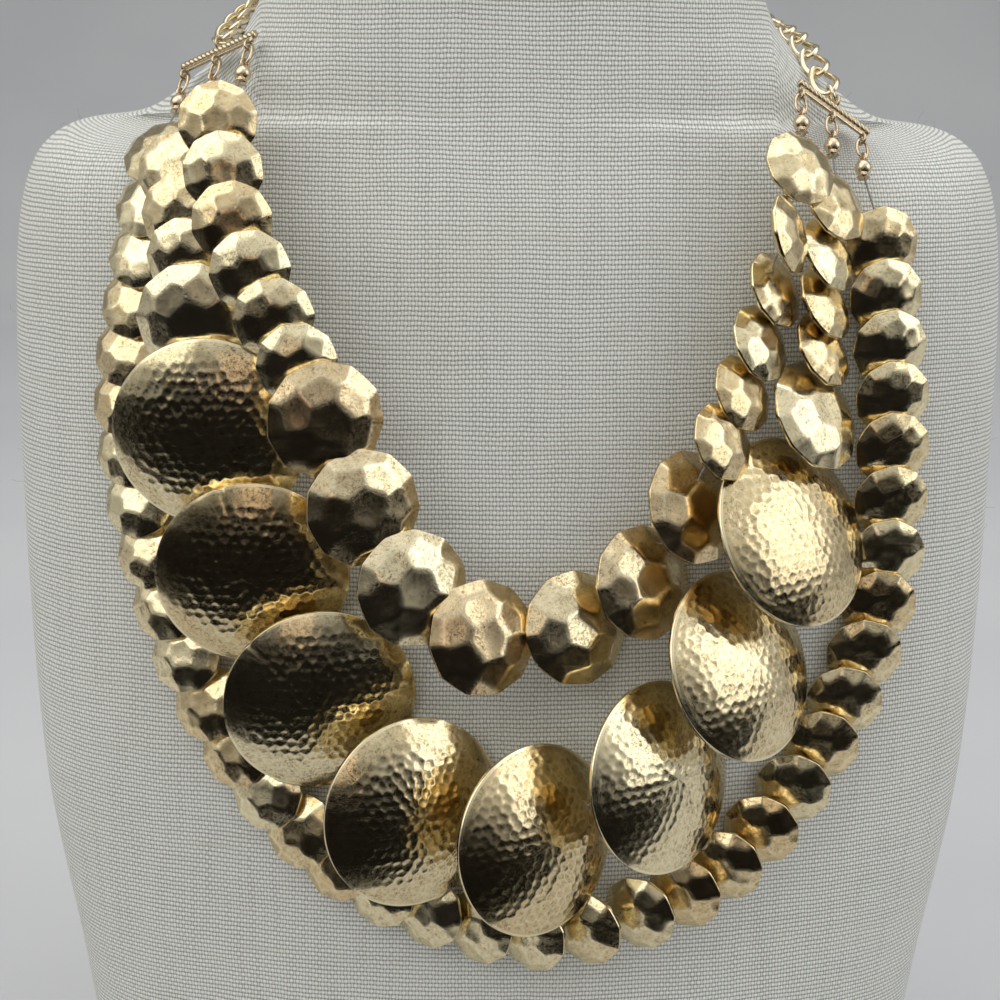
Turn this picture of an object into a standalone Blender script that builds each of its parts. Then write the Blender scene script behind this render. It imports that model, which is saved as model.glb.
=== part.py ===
"""Bib necklace of three strands of puffed metal discs, laid over a linen covered neck bust.

Metres, +Z up. The bust stands on z = 0 with its front towards -Y, and the wearer's right is -X.
The strands are laid one bead after another: each bead faces the way its strand turns it, and
is lowered onto the bust until it lies clear of what is already there.
"""

import math

import bmesh
import bpy
import numpy as np
from mathutils import Matrix, Vector
from mathutils.bvhtree import BVHTree

# Clearance between pieces that touch on the real necklace
CLEARANCE = 0.0003

# Neck bust
BUST_HEIGHT = 0.297
SHOULDER_HEIGHT = 0.2398
BUST_WIDTH = 0.2212
CHEST_DEPTH = 0.053
BACK_DEPTH = 0.042
NECK_WIDTH = 0.112
NECK_FRONT = 0.0345
NECK_BACK = 0.040
BUST_AROUND = 28
SLAB_ROUNDNESS = 3.0
NECK_ROUNDNESS = 2.4
BLEND = 6.0

# Sections of the chest and shoulders: height as a share of SHOULDER_HEIGHT, half width of half
# BUST_WIDTH, front of CHEST_DEPTH and back of BACK_DEPTH
SLAB_SECTIONS = (
    # height, half width, front, back
    (0.000, 0.823, 0.98, 1.00),
    (0.100, 0.866, 1.00, 1.00),
    (0.217, 0.907, 1.00, 0.98),
    (0.367, 0.964, 0.98, 0.95),
    (0.534, 0.989, 0.934, 0.88),
    (0.713, 0.998, 0.858, 0.79),
    (0.801, 1.000, 0.821, 0.74),
    (0.867, 0.995, 0.783, 0.70),
    (0.917, 0.984, 0.726, 0.643),
    (0.959, 0.960, 0.623, 0.548),
    (0.984, 0.927, 0.481, 0.417),
    (0.9967, 0.877, 0.302, 0.262),
    (1.000, 0.823, 0.132, 0.119),
)

# Sections of the neck and its flare: rise above the shoulders as a share of the neck's height,
# half width of half NECK_WIDTH, front of NECK_FRONT and back of NECK_BACK
NECK_SECTIONS = (
    # rise, half width, front, back
    (-2.09, 1.25, 1.443, 0.90),
    (-1.20, 1.25, 1.328, 0.90),
    (-0.486, 1.304, 1.194, 0.95),
    (-0.136, 1.393, 1.130, 0.975),
    (0.000, 1.429, 1.101, 1.00),
    (0.096, 1.332, 1.084, 1.00),
    (0.220, 1.175, 1.061, 1.00),
    (0.320, 1.063, 1.043, 1.00),
    (0.434, 1.002, 1.023, 1.00),
    (0.700, 0.973, 1.000, 1.00),
    (0.950, 0.990, 1.000, 1.00),
    (1.000, 0.920, 0.930, 0.93),
)
SLAB_RINGS = (0.0, 0.1, 0.217, 0.367, 0.534, 0.66, 0.75, 0.83, 0.89, 0.93, 0.96, 0.984, 0.9967)
NECK_RINGS = (0.05, 0.12, 0.19, 0.26, 0.34, 0.45, 0.70, 0.95, 1.0)

# Beads: diameter, thickness over both domes, rim edge and number of sides
SMALL_DIAMETER = 0.0165
SMALL_THICKNESS = 0.0049
MEDIUM_DIAMETER = 0.024
MEDIUM_THICKNESS = 0.0067
LARGE_DIAMETER = 0.040
LARGE_THICKNESS = 0.0106
LARGE_RIM = 0.0008
SMALL_SIDES = 10
MEDIUM_SIDES = 12
LARGE_SIDES = 16

# Length of strand that one bead takes up
SMALL_PITCH = 0.0109
MEDIUM_PITCH = 0.0187
LARGE_PITCH = 0.0292
STRING_CORE = 0.0005

# The discs are laid onto the bust from this point in front of it
LAID_FROM = (-0.018, -0.468, 0.260)

# Routes of the strands over the front of the bust, in stringing order. A row gives the number of
# a bead, its place across and up, and the way it faces: degrees to the right and upwards. The
# beads between two rows share the stretch in proportion to the length of strand each takes up
INNER_ROUTE = (
    # bead, x, z, right, up
    (0, -0.0627, 0.2397, -4, 10),
    (2, -0.0591, 0.2197, 2, 2),
    (5, -0.0455, 0.1914, 9, -4),
    (6, -0.0397, 0.1799, 16, 0),
    (8, -0.0215, 0.1455, 22, 8),
    (9, -0.0069, 0.1352, 25, 13),
    (10, 0.0126, 0.1373, 28, 15),
    (11, 0.0268, 0.1466, 33, 17),
    (12, 0.0371, 0.1622, 37, 20),
    (13, 0.0431, 0.1757, 44, 23),
    (15, 0.0508, 0.1960, 47, 25),
    (16, 0.0538, 0.2069, 51, 25),
    (17, 0.0567, 0.2183, 64, 16),
    (18, 0.0595, 0.2315, 30, 33),
)
MIDDLE_ROUTE = (
    # bead, x, z, right, up
    (0, -0.0713, 0.2293, -14, 12),
    (2, -0.0688, 0.2121, -12, -3),
    (3, -0.0670, 0.1994, -8, -7),
    (4, -0.0640, 0.1760, -4, -8),
    (5, -0.0551, 0.1470, 3, -10),
    (6, -0.0409, 0.1208, 10, -8),
    (7, -0.0212, 0.0971, 26, 4),
    (8, 0.0050, 0.0911, 36, 8),
    (9, 0.0313, 0.1044, 41, 12),
    (10, 0.0482, 0.1279, 41, 22),
    (11, 0.0590, 0.1559, 38, 25),
    (12, 0.0634, 0.1805, 43, 28),
    (13, 0.0647, 0.1942, 50, 30),
    (15, 0.0653, 0.2139, 52, 29),
    (16, 0.0670, 0.2240, 42, 32),
)
OUTER_ROUTE = (
    # bead, x, z, right, up
    (0, 0.0771, 0.2157, 12, -4),
    (4, 0.0810, 0.1727, 8, -11),
    (7, 0.0791, 0.1388, 0, -12),
    (10, 0.0671, 0.1088, -8, -12),
    (13, 0.0463, 0.0836, -22, -9),
    (15, 0.0277, 0.0740, -30, -6),
    (17, 0.0045, 0.0696, -34, -2),
    (19, -0.0177, 0.0750, -32, 2),
    (21, -0.0371, 0.0849, -28, 8),
    (23, -0.0523, 0.0996, -26, 12),
    (25, -0.0648, 0.1181, -25, 16),
    (28, -0.0768, 0.1503, -24, 20),
    (31, -0.0815, 0.1823, -23, 22),
    (34, -0.0775, 0.2130, -23, 30),
    (36, -0.0750, 0.2331, -28, 44),
)
OUTER_COUNT = 37

# Spacer bars: where their ends lie, the way they face and the way their drops hang
BAR_RIGHT = {
    "inner_end": (0.0590, -0.0288, 0.2492),
    "outer_end": (0.0752, -0.0256, 0.2384),
    "facing": (0.45, -0.60, 0.66),
    "drop": (-0.06, -0.65, -0.76),
}
BAR_LEFT = {
    "inner_end": (-0.0546, -0.0244, 0.2578),
    "outer_end": (-0.0715, -0.0130, 0.2503),
    "facing": (-0.66, -0.40, 0.64),
    "drop": (-0.12, -0.66, -0.74),
}
BAR_ROD = 0.00070
BAR_STRIP_WIDTH = 0.0019
BAR_STRIP_THICKNESS = 0.0007
LOOP_PLACES = (0.07, 0.5, 0.93)

# Loops, links, rings and bead tips of the drops
LOOP_RADIUS = 0.0011
FINE_WIRE = 0.00035
SOLDER = 0.00015
LINK_HALF_LENGTH = 0.0024
LINK_HALF_WIDTH = 0.0014
TIP_RADIUS = 0.0018
TIP_LOOP_RADIUS = 0.0010
TIP_SKIRT_DROP = 0.0022
TIP_SKIRT_RADIUS = 0.0012
TOP_LOOP_RADIUS = 0.0013
JUMP_RING_RADIUS = 0.0022
JUMP_RING_WIRE = 0.0004

# Curb chain round the neck and the plain clasp
CHAIN_WIRE = 0.00055
CHAIN_HALF_LENGTH = 0.0032
CHAIN_HALF_WIDTH = 0.00165
CHAIN_TWIST = 45
CHAIN_BITE = 0.0007
CLASP_HALF_LENGTH = 0.0052
CLASP_HALF_WIDTH = 0.0023
CLASP_WIRE = 0.00055
CLASP_HEIGHT = 0.274
# Route of each half of the chain round the neck: degrees from the side towards the back, height
CHAIN_ROUTE_RIGHT = ((-12, 0.2545), (2, 0.2595), (20, 0.2655), (42, 0.2705), (65, 0.2735))
CHAIN_ROUTE_LEFT = ((6, 0.2625), (20, 0.2660), (42, 0.2705), (65, 0.2735))


def clear_scene():
    """Remove whatever the file holds."""
    for item in list(bpy.data.objects):
        bpy.data.objects.remove(item, do_unlink=True)


def material(name, colour, roughness, metallic):
    """A Principled material with one colour."""
    mat = bpy.data.materials.new(name)
    mat.use_nodes = True
    shader = mat.node_tree.nodes["Principled BSDF"]
    shader.inputs["Base Color"].default_value = (*colour, 1.0)
    shader.inputs["Roughness"].default_value = roughness
    shader.inputs["Metallic"].default_value = metallic
    return mat


def smooth_table(rows, at, column):
    """Read one column of a table of sections at a height, on a smooth curve through its rows."""
    knots = np.array([row[0] for row in rows])
    values = np.array([row[column] for row in rows])
    slopes = np.gradient(values, knots)
    at = np.clip(at, knots[0], knots[-1])
    low = np.clip(np.searchsorted(knots, at) - 1, 0, len(knots) - 2)
    span = knots[low + 1] - knots[low]
    s = (at - knots[low]) / span
    return (
        (2 * s**3 - 3 * s**2 + 1) * values[low]
        + (s**3 - 2 * s**2 + s) * span * slopes[low]
        + (3 * s**2 - 2 * s**3) * values[low + 1]
        + (s**3 - s**2) * span * slopes[low + 1]
    )


def bust_half_width(z):
    """Half width of the bust at a height: the chest's below the shoulders, the neck's above."""
    if z < SHOULDER_HEIGHT:
        return smooth_table(SLAB_SECTIONS, z / SHOULDER_HEIGHT, 1) * BUST_WIDTH / 2
    rise = (z - SHOULDER_HEIGHT) / (BUST_HEIGHT - SHOULDER_HEIGHT)
    return smooth_table(NECK_SECTIONS, rise, 1) * NECK_WIDTH / 2


def bust_depth(x, z, back=False):
    """Depth of the front or back surface from the middle plane, a smooth union of slab and neck."""
    column = 3 if back else 2
    rise = (z - SHOULDER_HEIGHT) / (BUST_HEIGHT - SHOULDER_HEIGHT)
    neck_half = smooth_table(NECK_SECTIONS, rise, 1) * NECK_WIDTH / 2
    neck_depth = smooth_table(NECK_SECTIONS, rise, column) * (NECK_BACK if back else NECK_FRONT)
    neck_share = min(abs(x) / neck_half, 1.0) ** NECK_ROUNDNESS
    neck = neck_depth * (1 - neck_share) ** (1 / NECK_ROUNDNESS)
    slab = 0.0
    if z <= SHOULDER_HEIGHT:
        level = z / SHOULDER_HEIGHT
        slab_half = smooth_table(SLAB_SECTIONS, level, 1) * BUST_WIDTH / 2
        slab_depth = smooth_table(SLAB_SECTIONS, level, column)
        slab_depth *= BACK_DEPTH if back else CHEST_DEPTH
        slab_share = min(abs(x) / slab_half, 1.0) ** SLAB_ROUNDNESS
        slab = slab_depth * (1 - slab_share) ** (1 / SLAB_ROUNDNESS)
    return (slab**BLEND + neck**BLEND) ** (1 / BLEND)


def bust_ring(z):
    """One ring of the loft: points shared out evenly round a rounded section."""
    half = bust_half_width(z)
    power = 2 / (SLAB_ROUNDNESS if z < SHOULDER_HEIGHT else NECK_ROUNDNESS)
    ring = []
    for k in range(BUST_AROUND):
        turn = 2 * math.pi * k / BUST_AROUND
        x = half * math.copysign(abs(math.cos(turn)) ** power, math.cos(turn))
        back = math.sin(turn) > 1e-6
        end = abs(math.sin(turn)) <= 1e-6
        depth = 0.0 if end else bust_depth(x, z, back)
        ring.append((x, depth if back else -depth, z))
    return ring


def make_bust(mat, parts):
    """The bust: a loft through unlike sections, closed by a flat base and a flat neck top."""
    heights = [share * SHOULDER_HEIGHT for share in SLAB_RINGS]
    neck_height = BUST_HEIGHT - SHOULDER_HEIGHT
    heights += [SHOULDER_HEIGHT + share * neck_height for share in NECK_RINGS]
    rings = [bust_ring(z) for z in heights]
    shape = bmesh.new()
    loops = [[shape.verts.new(point) for point in ring] for ring in rings]
    for low, high in zip(loops, loops[1:]):
        for k in range(BUST_AROUND):
            after = (k + 1) % BUST_AROUND
            shape.faces.new((low[k], low[after], high[after], high[k]))
    shape.faces.new(list(reversed(loops[0])))
    shape.faces.new(loops[-1])
    bmesh.ops.recalc_face_normals(shape, faces=shape.faces)
    mesh = bpy.data.meshes.new("neck_bust")
    shape.to_mesh(mesh)
    shape.free()
    return add_object("neck_bust", mesh, mat, parts)


def add_object(name, mesh, mat, parts):
    """Put a mesh in the collection under its own name and material."""
    mesh.materials.clear()
    mesh.materials.append(mat)
    item = bpy.data.objects.new(name, mesh)
    parts.objects.link(item)
    mesh.shade_smooth()
    mesh.set_sharp_from_angle(angle=math.radians(35))
    return item


def evaluated_mesh(item):
    """The mesh of an object with its modifiers applied, and the object removed."""
    graph = bpy.context.evaluated_depsgraph_get()
    mesh = bpy.data.meshes.new_from_object(item.evaluated_get(graph))
    mesh.transform(item.matrix_world)
    bpy.data.objects.remove(item, do_unlink=True)
    return mesh


def turned(profile, sides):
    """A turned shape about Z: a profile down its outer side with a Screw modifier."""
    mesh = bpy.data.meshes.new("profile")
    edges = [(k, k + 1) for k in range(len(profile) - 1)]
    mesh.from_pydata([(r, 0.0, z) for r, z in profile], edges, [])
    item = bpy.data.objects.new("profile", mesh)
    bpy.context.scene.collection.objects.link(item)
    screw = item.modifiers.new("turn", "SCREW")
    screw.steps = sides
    screw.render_steps = sides
    screw.use_merge_vertices = True
    screw.merge_threshold = 0.00001
    return outward(evaluated_mesh(item))


def outward(mesh):
    """Merge the doubles of a closed mesh and point its faces outwards."""
    shape = bmesh.new()
    shape.from_mesh(mesh)
    bmesh.ops.remove_doubles(shape, verts=shape.verts, dist=0.000001)
    bmesh.ops.recalc_face_normals(shape, faces=shape.faces)
    shape.to_mesh(mesh)
    shape.free()
    return mesh


def disc(diameter, thickness, sides, rim=0.0, steps=(0.0, 0.52, 1.0)):
    """A puffed disc: two like domes that meet at the rim, with rows of flats round them."""
    radius = diameter / 2
    dome = (thickness - rim) / 2
    upper = [(radius * s, rim / 2 + dome * (1 - s**2)) for s in steps]
    lower = [(r, -z) for r, z in reversed(upper)]
    profile = upper + (lower if rim > 0 else lower[1:])
    return turned(profile, sides)


def ring_mesh(half_length, half_width, wire, twist=0.0, around=10, sides=5):
    """An oval link along X that lies in XY, twisted about its length, from a torus."""
    bpy.ops.mesh.primitive_torus_add(
        major_segments=around, minor_segments=sides, major_radius=1.0, minor_radius=0.25
    )
    item = bpy.context.active_object
    mesh = item.data.copy()
    bpy.data.objects.remove(item, do_unlink=True)
    for vert in mesh.vertices:
        angle = math.atan2(vert.co.y, vert.co.x)
        out = math.hypot(vert.co.x, vert.co.y) - 1.0
        centre = Vector((half_length * math.cos(angle), half_width * math.sin(angle), 0.0))
        away = Vector((math.cos(angle) / half_length, math.sin(angle) / half_width, 0.0))
        away = away.normalized() * (out / 0.25 * wire)
        place = centre + away + Vector((0.0, 0.0, vert.co.z / 0.25 * wire))
        roll = math.radians(twist) * max(-1.0, min(1.0, place.x / half_length))
        vert.co = Matrix.Rotation(roll, 3, "X") @ place
    return outward(mesh)


def joined(meshes):
    """Several closed meshes that don't meet, as one mesh."""
    shape = bmesh.new()
    for mesh in meshes:
        shape.from_mesh(mesh)
    result = bpy.data.meshes.new("joined")
    shape.to_mesh(result)
    shape.free()
    return result


def fused(first, second):
    """Union of two meshes as one closed body."""
    body = bpy.data.objects.new("body", first)
    tool = bpy.data.objects.new("tool", second)
    for item in (body, tool):
        bpy.context.scene.collection.objects.link(item)
    boolean = body.modifiers.new("fuse", "BOOLEAN")
    boolean.operation = "UNION"
    boolean.solver = "EXACT"
    boolean.object = tool
    mesh = evaluated_mesh(body)
    bpy.data.objects.remove(tool, do_unlink=True)
    return outward(mesh)


def moved(mesh, matrix):
    """A copy of a mesh under a transform."""
    copy = mesh.copy()
    copy.transform(matrix)
    return copy


def tube(points, radius, resolution=0):
    """A capped tube along a run of points."""
    curve = bpy.data.curves.new("tube", "CURVE")
    curve.dimensions = "3D"
    curve.bevel_depth = radius
    curve.bevel_resolution = resolution
    curve.use_fill_caps = True
    spline = curve.splines.new("POLY")
    spline.points.add(len(points) - 1)
    for target, point in zip(spline.points, points):
        target.co = (*point, 1.0)
    item = bpy.data.objects.new("tube", curve)
    bpy.context.scene.collection.objects.link(item)
    return outward(evaluated_mesh(item))


def frame_from(forward, facing):
    """A rotation whose X runs forward and whose Z is as near to the facing as it can be."""
    x_axis = Vector(forward).normalized()
    z_axis = Vector(facing) - x_axis * x_axis.dot(Vector(facing))
    z_axis.normalize()
    y_axis = z_axis.cross(x_axis)
    return Matrix((x_axis, y_axis, z_axis)).transposed().to_4x4()


def catmull(rows, count):
    """Points on a smooth curve through the rows, evenly shared between them."""
    rows = np.array(rows, float)
    padded = np.vstack([2 * rows[0] - rows[1], rows, 2 * rows[-1] - rows[-2]])
    result = []
    for k in range(len(rows) - 1):
        a, b, c, d = padded[k : k + 4]
        for s in np.linspace(0, 1, count, endpoint=False):
            result.append(
                0.5 * (2 * b + (c - a) * s + (2 * a - 5 * b + 4 * c - d) * s**2
                       + (3 * b - a - 3 * c + d) * s**3)
            )
    result.append(rows[-1])
    return np.array(result)


def strand_places(route, pitches):
    """Places and facings of all the beads of a strand, on a smooth curve through its rows."""
    pitches = np.array(pitches)
    steps = np.concatenate([[0.0], np.cumsum((pitches[1:] + pitches[:-1]) / 2)])
    rows = [(steps[bead], *rest) for bead, *rest in route]
    return [[smooth_table(rows, step, column) for column in range(1, 5)] for step in steps]


class Laid:
    """What already lies on the bust, and the lowering of one more piece onto it."""

    def __init__(self):
        self.solids = []

    def add(self, mesh):
        """Note one more mesh that later pieces have to clear."""
        corners = [vert.co.copy() for vert in mesh.vertices]
        middle = sum(corners, Vector()) / len(corners)
        reach = max((corner - middle).length for corner in corners)
        faces = [tuple(face.vertices) for face in mesh.polygons]
        self.solids.append((middle, reach, BVHTree.FromPolygons(corners, faces)))

    def meets(self, mesh, matrix, swollen):
        """Whether a mesh, swollen by a clearance, meets anything that is laid already."""
        corners = [matrix @ corner for corner in swollen]
        faces = [tuple(face.vertices) for face in mesh.polygons]
        middle = matrix @ Vector()
        reach = max((corner - middle).length for corner in corners)
        tree = BVHTree.FromPolygons(corners, faces)
        for centre, extent, other in self.solids:
            if (centre - middle).length < reach + extent and tree.overlap(other):
                return True
        return False

    def lower(self, mesh, turn, base, normal, gap, start=0.048, step=0.0008):
        """Lower a mesh against a direction until only the gap is left, and give its matrix."""
        swollen = [
            vert.co + gap * Vector(vert.normal) for vert in mesh.vertices
        ]
        place = lambda lift: Matrix.Translation(base + normal * lift) @ turn
        lift = start
        while lift > 0 and not self.meets(mesh, place(lift - step), swollen):
            lift -= step
        low = lift - step
        for _ in range(7):
            middle = (low + lift) / 2
            if self.meets(mesh, place(middle), swollen):
                low = middle
            else:
                lift = middle
        return place(lift)


def bead_turn(right, up, spin):
    """Rotation of a bead that faces so many degrees to the right and upwards."""
    right, up = math.radians(right), math.radians(up)
    facing = Vector((math.sin(right) * math.cos(up), -math.cos(right) * math.cos(up), math.sin(up)))
    side = Vector((math.cos(right), math.sin(right), 0.0))
    return frame_from(side, facing) @ Matrix.Rotation(spin, 4, "Z")


def lay_beads(places, kinds, shapes, laid):
    """Lay beads in stringing order and give each one's mesh and centre."""
    result = []
    for index, ((x, z, right, up), kind) in enumerate(zip(places, kinds)):
        base = Vector((x, -bust_depth(x, z), z))
        turn = bead_turn(right, up, index * math.pi / 7)
        towards = (Vector(LAID_FROM) - base).normalized()
        matrix = laid.lower(shapes[kind], turn, base, towards, CLEARANCE)
        mesh = moved(shapes[kind], matrix)
        laid.add(mesh)
        result.append((mesh, matrix.translation.copy()))
    return result


def string_object(name, beads, mat, parts, laid):
    """Fuse a run of beads on its core into one string."""
    core = tube([centre for _, centre in beads], STRING_CORE)
    laid.add(core)
    mesh = fused(joined([bead for bead, _ in beads]), core)
    return add_object(name, mesh, mat, parts)


def make_drop(name, loop_centre, down, facing, mats, parts, laid):
    """A fine oval link through a loop, and a bead tip with a ring of its own on the link."""
    hang = LOOP_RADIUS - 2 * FINE_WIRE - CLEARANCE
    link_top = loop_centre + down * hang
    link_centre = link_top + down * LINK_HALF_LENGTH
    link = ring_mesh(LINK_HALF_LENGTH, LINK_HALF_WIDTH, FINE_WIRE)
    link = moved(link, Matrix.Translation(link_centre) @ frame_from(down, facing))
    laid.add(link)
    add_object("drop_link_" + name, link, mats["fine"], parts)

    link_bottom = link_centre + down * LINK_HALF_LENGTH
    ring_centre = link_bottom + down * (TIP_LOOP_RADIUS - 2 * FINE_WIRE - CLEARANCE)
    side = Vector(down).cross(Vector(facing)).normalized()
    ring = ring_mesh(TIP_LOOP_RADIUS, TIP_LOOP_RADIUS, FINE_WIRE)
    ring = moved(ring, Matrix.Translation(ring_centre) @ frame_from(down, side))
    tip_centre = ring_centre + down * (TIP_LOOP_RADIUS + TIP_RADIUS - FINE_WIRE / 2)
    ball = [
        (TIP_RADIUS * math.sin(a), TIP_RADIUS * math.cos(a))
        for a in np.radians([0, 52, 100, 140])
    ]
    ball += [(TIP_SKIRT_RADIUS, -TIP_SKIRT_DROP), (0.0, -TIP_SKIRT_DROP)]
    ball = moved(turned(ball, 10), Matrix.Translation(tip_centre) @ frame_from_z(-down, facing))
    tip = fused(ball, ring)
    laid.add(tip)
    add_object("bead_tip_" + name, tip, mats["fine"], parts)


def frame_from_z(upward, facing):
    """A rotation whose Z runs upward and whose X is as near to the facing as it can be."""
    z_axis = Vector(upward).normalized()
    x_axis = Vector(facing) - z_axis * z_axis.dot(Vector(facing))
    x_axis.normalize()
    y_axis = z_axis.cross(x_axis)
    return Matrix((x_axis, y_axis, z_axis)).transposed().to_4x4()


def make_bar(side, spec, chain_next, mats, parts, bust_tree, laid):
    """A spacer bar with its three loops below and one above, its drops and its jump ring."""
    inner, outer = Vector(spec["inner_end"]), Vector(spec["outer_end"])
    along = (outer - inner).normalized()
    down = Vector(spec["drop"]).normalized()
    facing = Vector(spec["facing"])
    facing = (facing - down * down.dot(facing)).normalized()
    rod = tube([inner, (inner + outer) / 2, outer], BAR_ROD, 1)
    strip_shape = bmesh.new()
    bmesh.ops.create_cube(strip_shape, size=1.0)
    strip = bpy.data.meshes.new("strip")
    strip_shape.to_mesh(strip)
    strip_shape.free()
    length = (outer - inner).length - 2 * BAR_ROD
    strip.transform(Matrix.Diagonal((length, BAR_STRIP_WIDTH, BAR_STRIP_THICKNESS, 1.0)))
    hang = down - along * along.dot(down)
    hang.normalize()
    flat = frame_from(along, along.cross(hang))
    centre = (inner + outer) / 2 + hang * (BAR_STRIP_WIDTH / 2)
    strip.transform(Matrix.Translation(centre) @ flat)
    body = fused(rod, strip)

    loop = ring_mesh(LOOP_RADIUS, LOOP_RADIUS, FINE_WIRE)
    across = down.cross(facing).normalized()
    loops = []
    centres = []
    for place in LOOP_PLACES:
        centres.append(inner.lerp(outer, place) + hang * (BAR_STRIP_WIDTH + LOOP_RADIUS - SOLDER))
        loops.append(moved(loop, Matrix.Translation(centres[-1]) @ frame_from(down, across)))
    top_centre = (inner + outer) / 2 - hang * (BAR_ROD + TOP_LOOP_RADIUS - SOLDER)
    loop = ring_mesh(TOP_LOOP_RADIUS, TOP_LOOP_RADIUS, FINE_WIRE)
    loops.append(moved(loop, Matrix.Translation(top_centre) @ frame_from(down, across)))
    bar = fused(body, joined(loops))
    laid.add(bar)
    add_object("spacer_bar_" + side, bar, mats["bar"], parts)

    for label, loop_centre in zip(("inner", "middle", "outer"), centres):
        make_drop(side + "_" + label, loop_centre, down, facing, mats, parts, laid)

    reach = TOP_LOOP_RADIUS - FINE_WIRE - JUMP_RING_WIRE - CLEARANCE + JUMP_RING_RADIUS
    upward = (chain_next - top_centre).normalized()
    ring_centre = top_centre + upward * reach
    nearest, _, _, _ = bust_tree.find_nearest(ring_centre + upward * JUMP_RING_RADIUS)
    away = ring_centre + upward * JUMP_RING_RADIUS - nearest
    ring = ring_mesh(JUMP_RING_RADIUS, JUMP_RING_RADIUS, JUMP_RING_WIRE)
    aslant = frame_from(upward, away) @ Matrix.Rotation(math.radians(CHAIN_TWIST), 4, "X")
    ring = moved(ring, Matrix.Translation(ring_centre) @ aslant)
    laid.add(ring)
    add_object("jump_ring_" + side, ring, mats["chain"], parts)
    into = JUMP_RING_RADIUS - JUMP_RING_WIRE - CHAIN_WIRE - CLEARANCE
    return ring_centre + upward * into


def neck_point(angle, z, mirror, bust_tree, lift):
    """A point that lies off the neck, so many degrees from its side towards its back."""
    rise = (z - SHOULDER_HEIGHT) / (BUST_HEIGHT - SHOULDER_HEIGHT)
    half = smooth_table(NECK_SECTIONS, rise, 1) * NECK_WIDTH / 2
    depth = NECK_BACK if angle > 0 else NECK_FRONT
    power = 2 / NECK_ROUNDNESS
    turn = math.radians(angle)
    x = mirror * half * math.cos(turn) ** power
    y = math.copysign(depth * abs(math.sin(turn)) ** power, angle)
    nearest, normal, _, _ = bust_tree.find_nearest(Vector((x, y, z)))
    return nearest + normal * lift


def chain_lift():
    """How far the middle of the twisted chain lies off the neck."""
    return CHAIN_HALF_WIDTH * math.sin(math.radians(CHAIN_TWIST)) * 0.6 + CHAIN_WIRE + 2 * CLEARANCE


def make_chain(side, mirror, start, route, clasp_end, mat, parts, bust_tree, laid):
    """Half of the neck chain: interlocked curb links from the jump ring to the clasp."""
    rows = [tuple(start)]
    rows += [tuple(neck_point(a, z, mirror, bust_tree, chain_lift())) for a, z in route]
    rows.append(tuple(clasp_end))
    curve = catmull(rows, 30)
    lengths = np.concatenate([[0.0], np.cumsum(np.linalg.norm(np.diff(curve, axis=0), axis=1))])
    bite = 2 * CHAIN_WIRE - CHAIN_BITE
    pitch = 2 * CHAIN_HALF_LENGTH - bite
    count = max(3, round((lengths[-1] - bite) / pitch))
    pitch = (lengths[-1] - bite) / count
    link = ring_mesh(pitch / 2 + bite / 2, CHAIN_HALF_WIDTH, CHAIN_WIRE, CHAIN_TWIST)

    def at(length):
        return Vector([np.interp(length, lengths, curve[:, k]) for k in range(3)])

    links = []
    for k in range(count):
        begin, end = at(k * pitch), at(k * pitch + pitch + bite)
        middle = (begin + end) / 2
        nearest, _, _, _ = bust_tree.find_nearest(middle)
        links.append(moved(link, Matrix.Translation(middle)
                           @ frame_from(end - begin, middle - nearest)))
    mesh = fused(joined(links[0::2]), joined(links[1::2]))
    laid.add(mesh)
    add_object("neck_chain_" + side, mesh, mat, parts)


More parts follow.
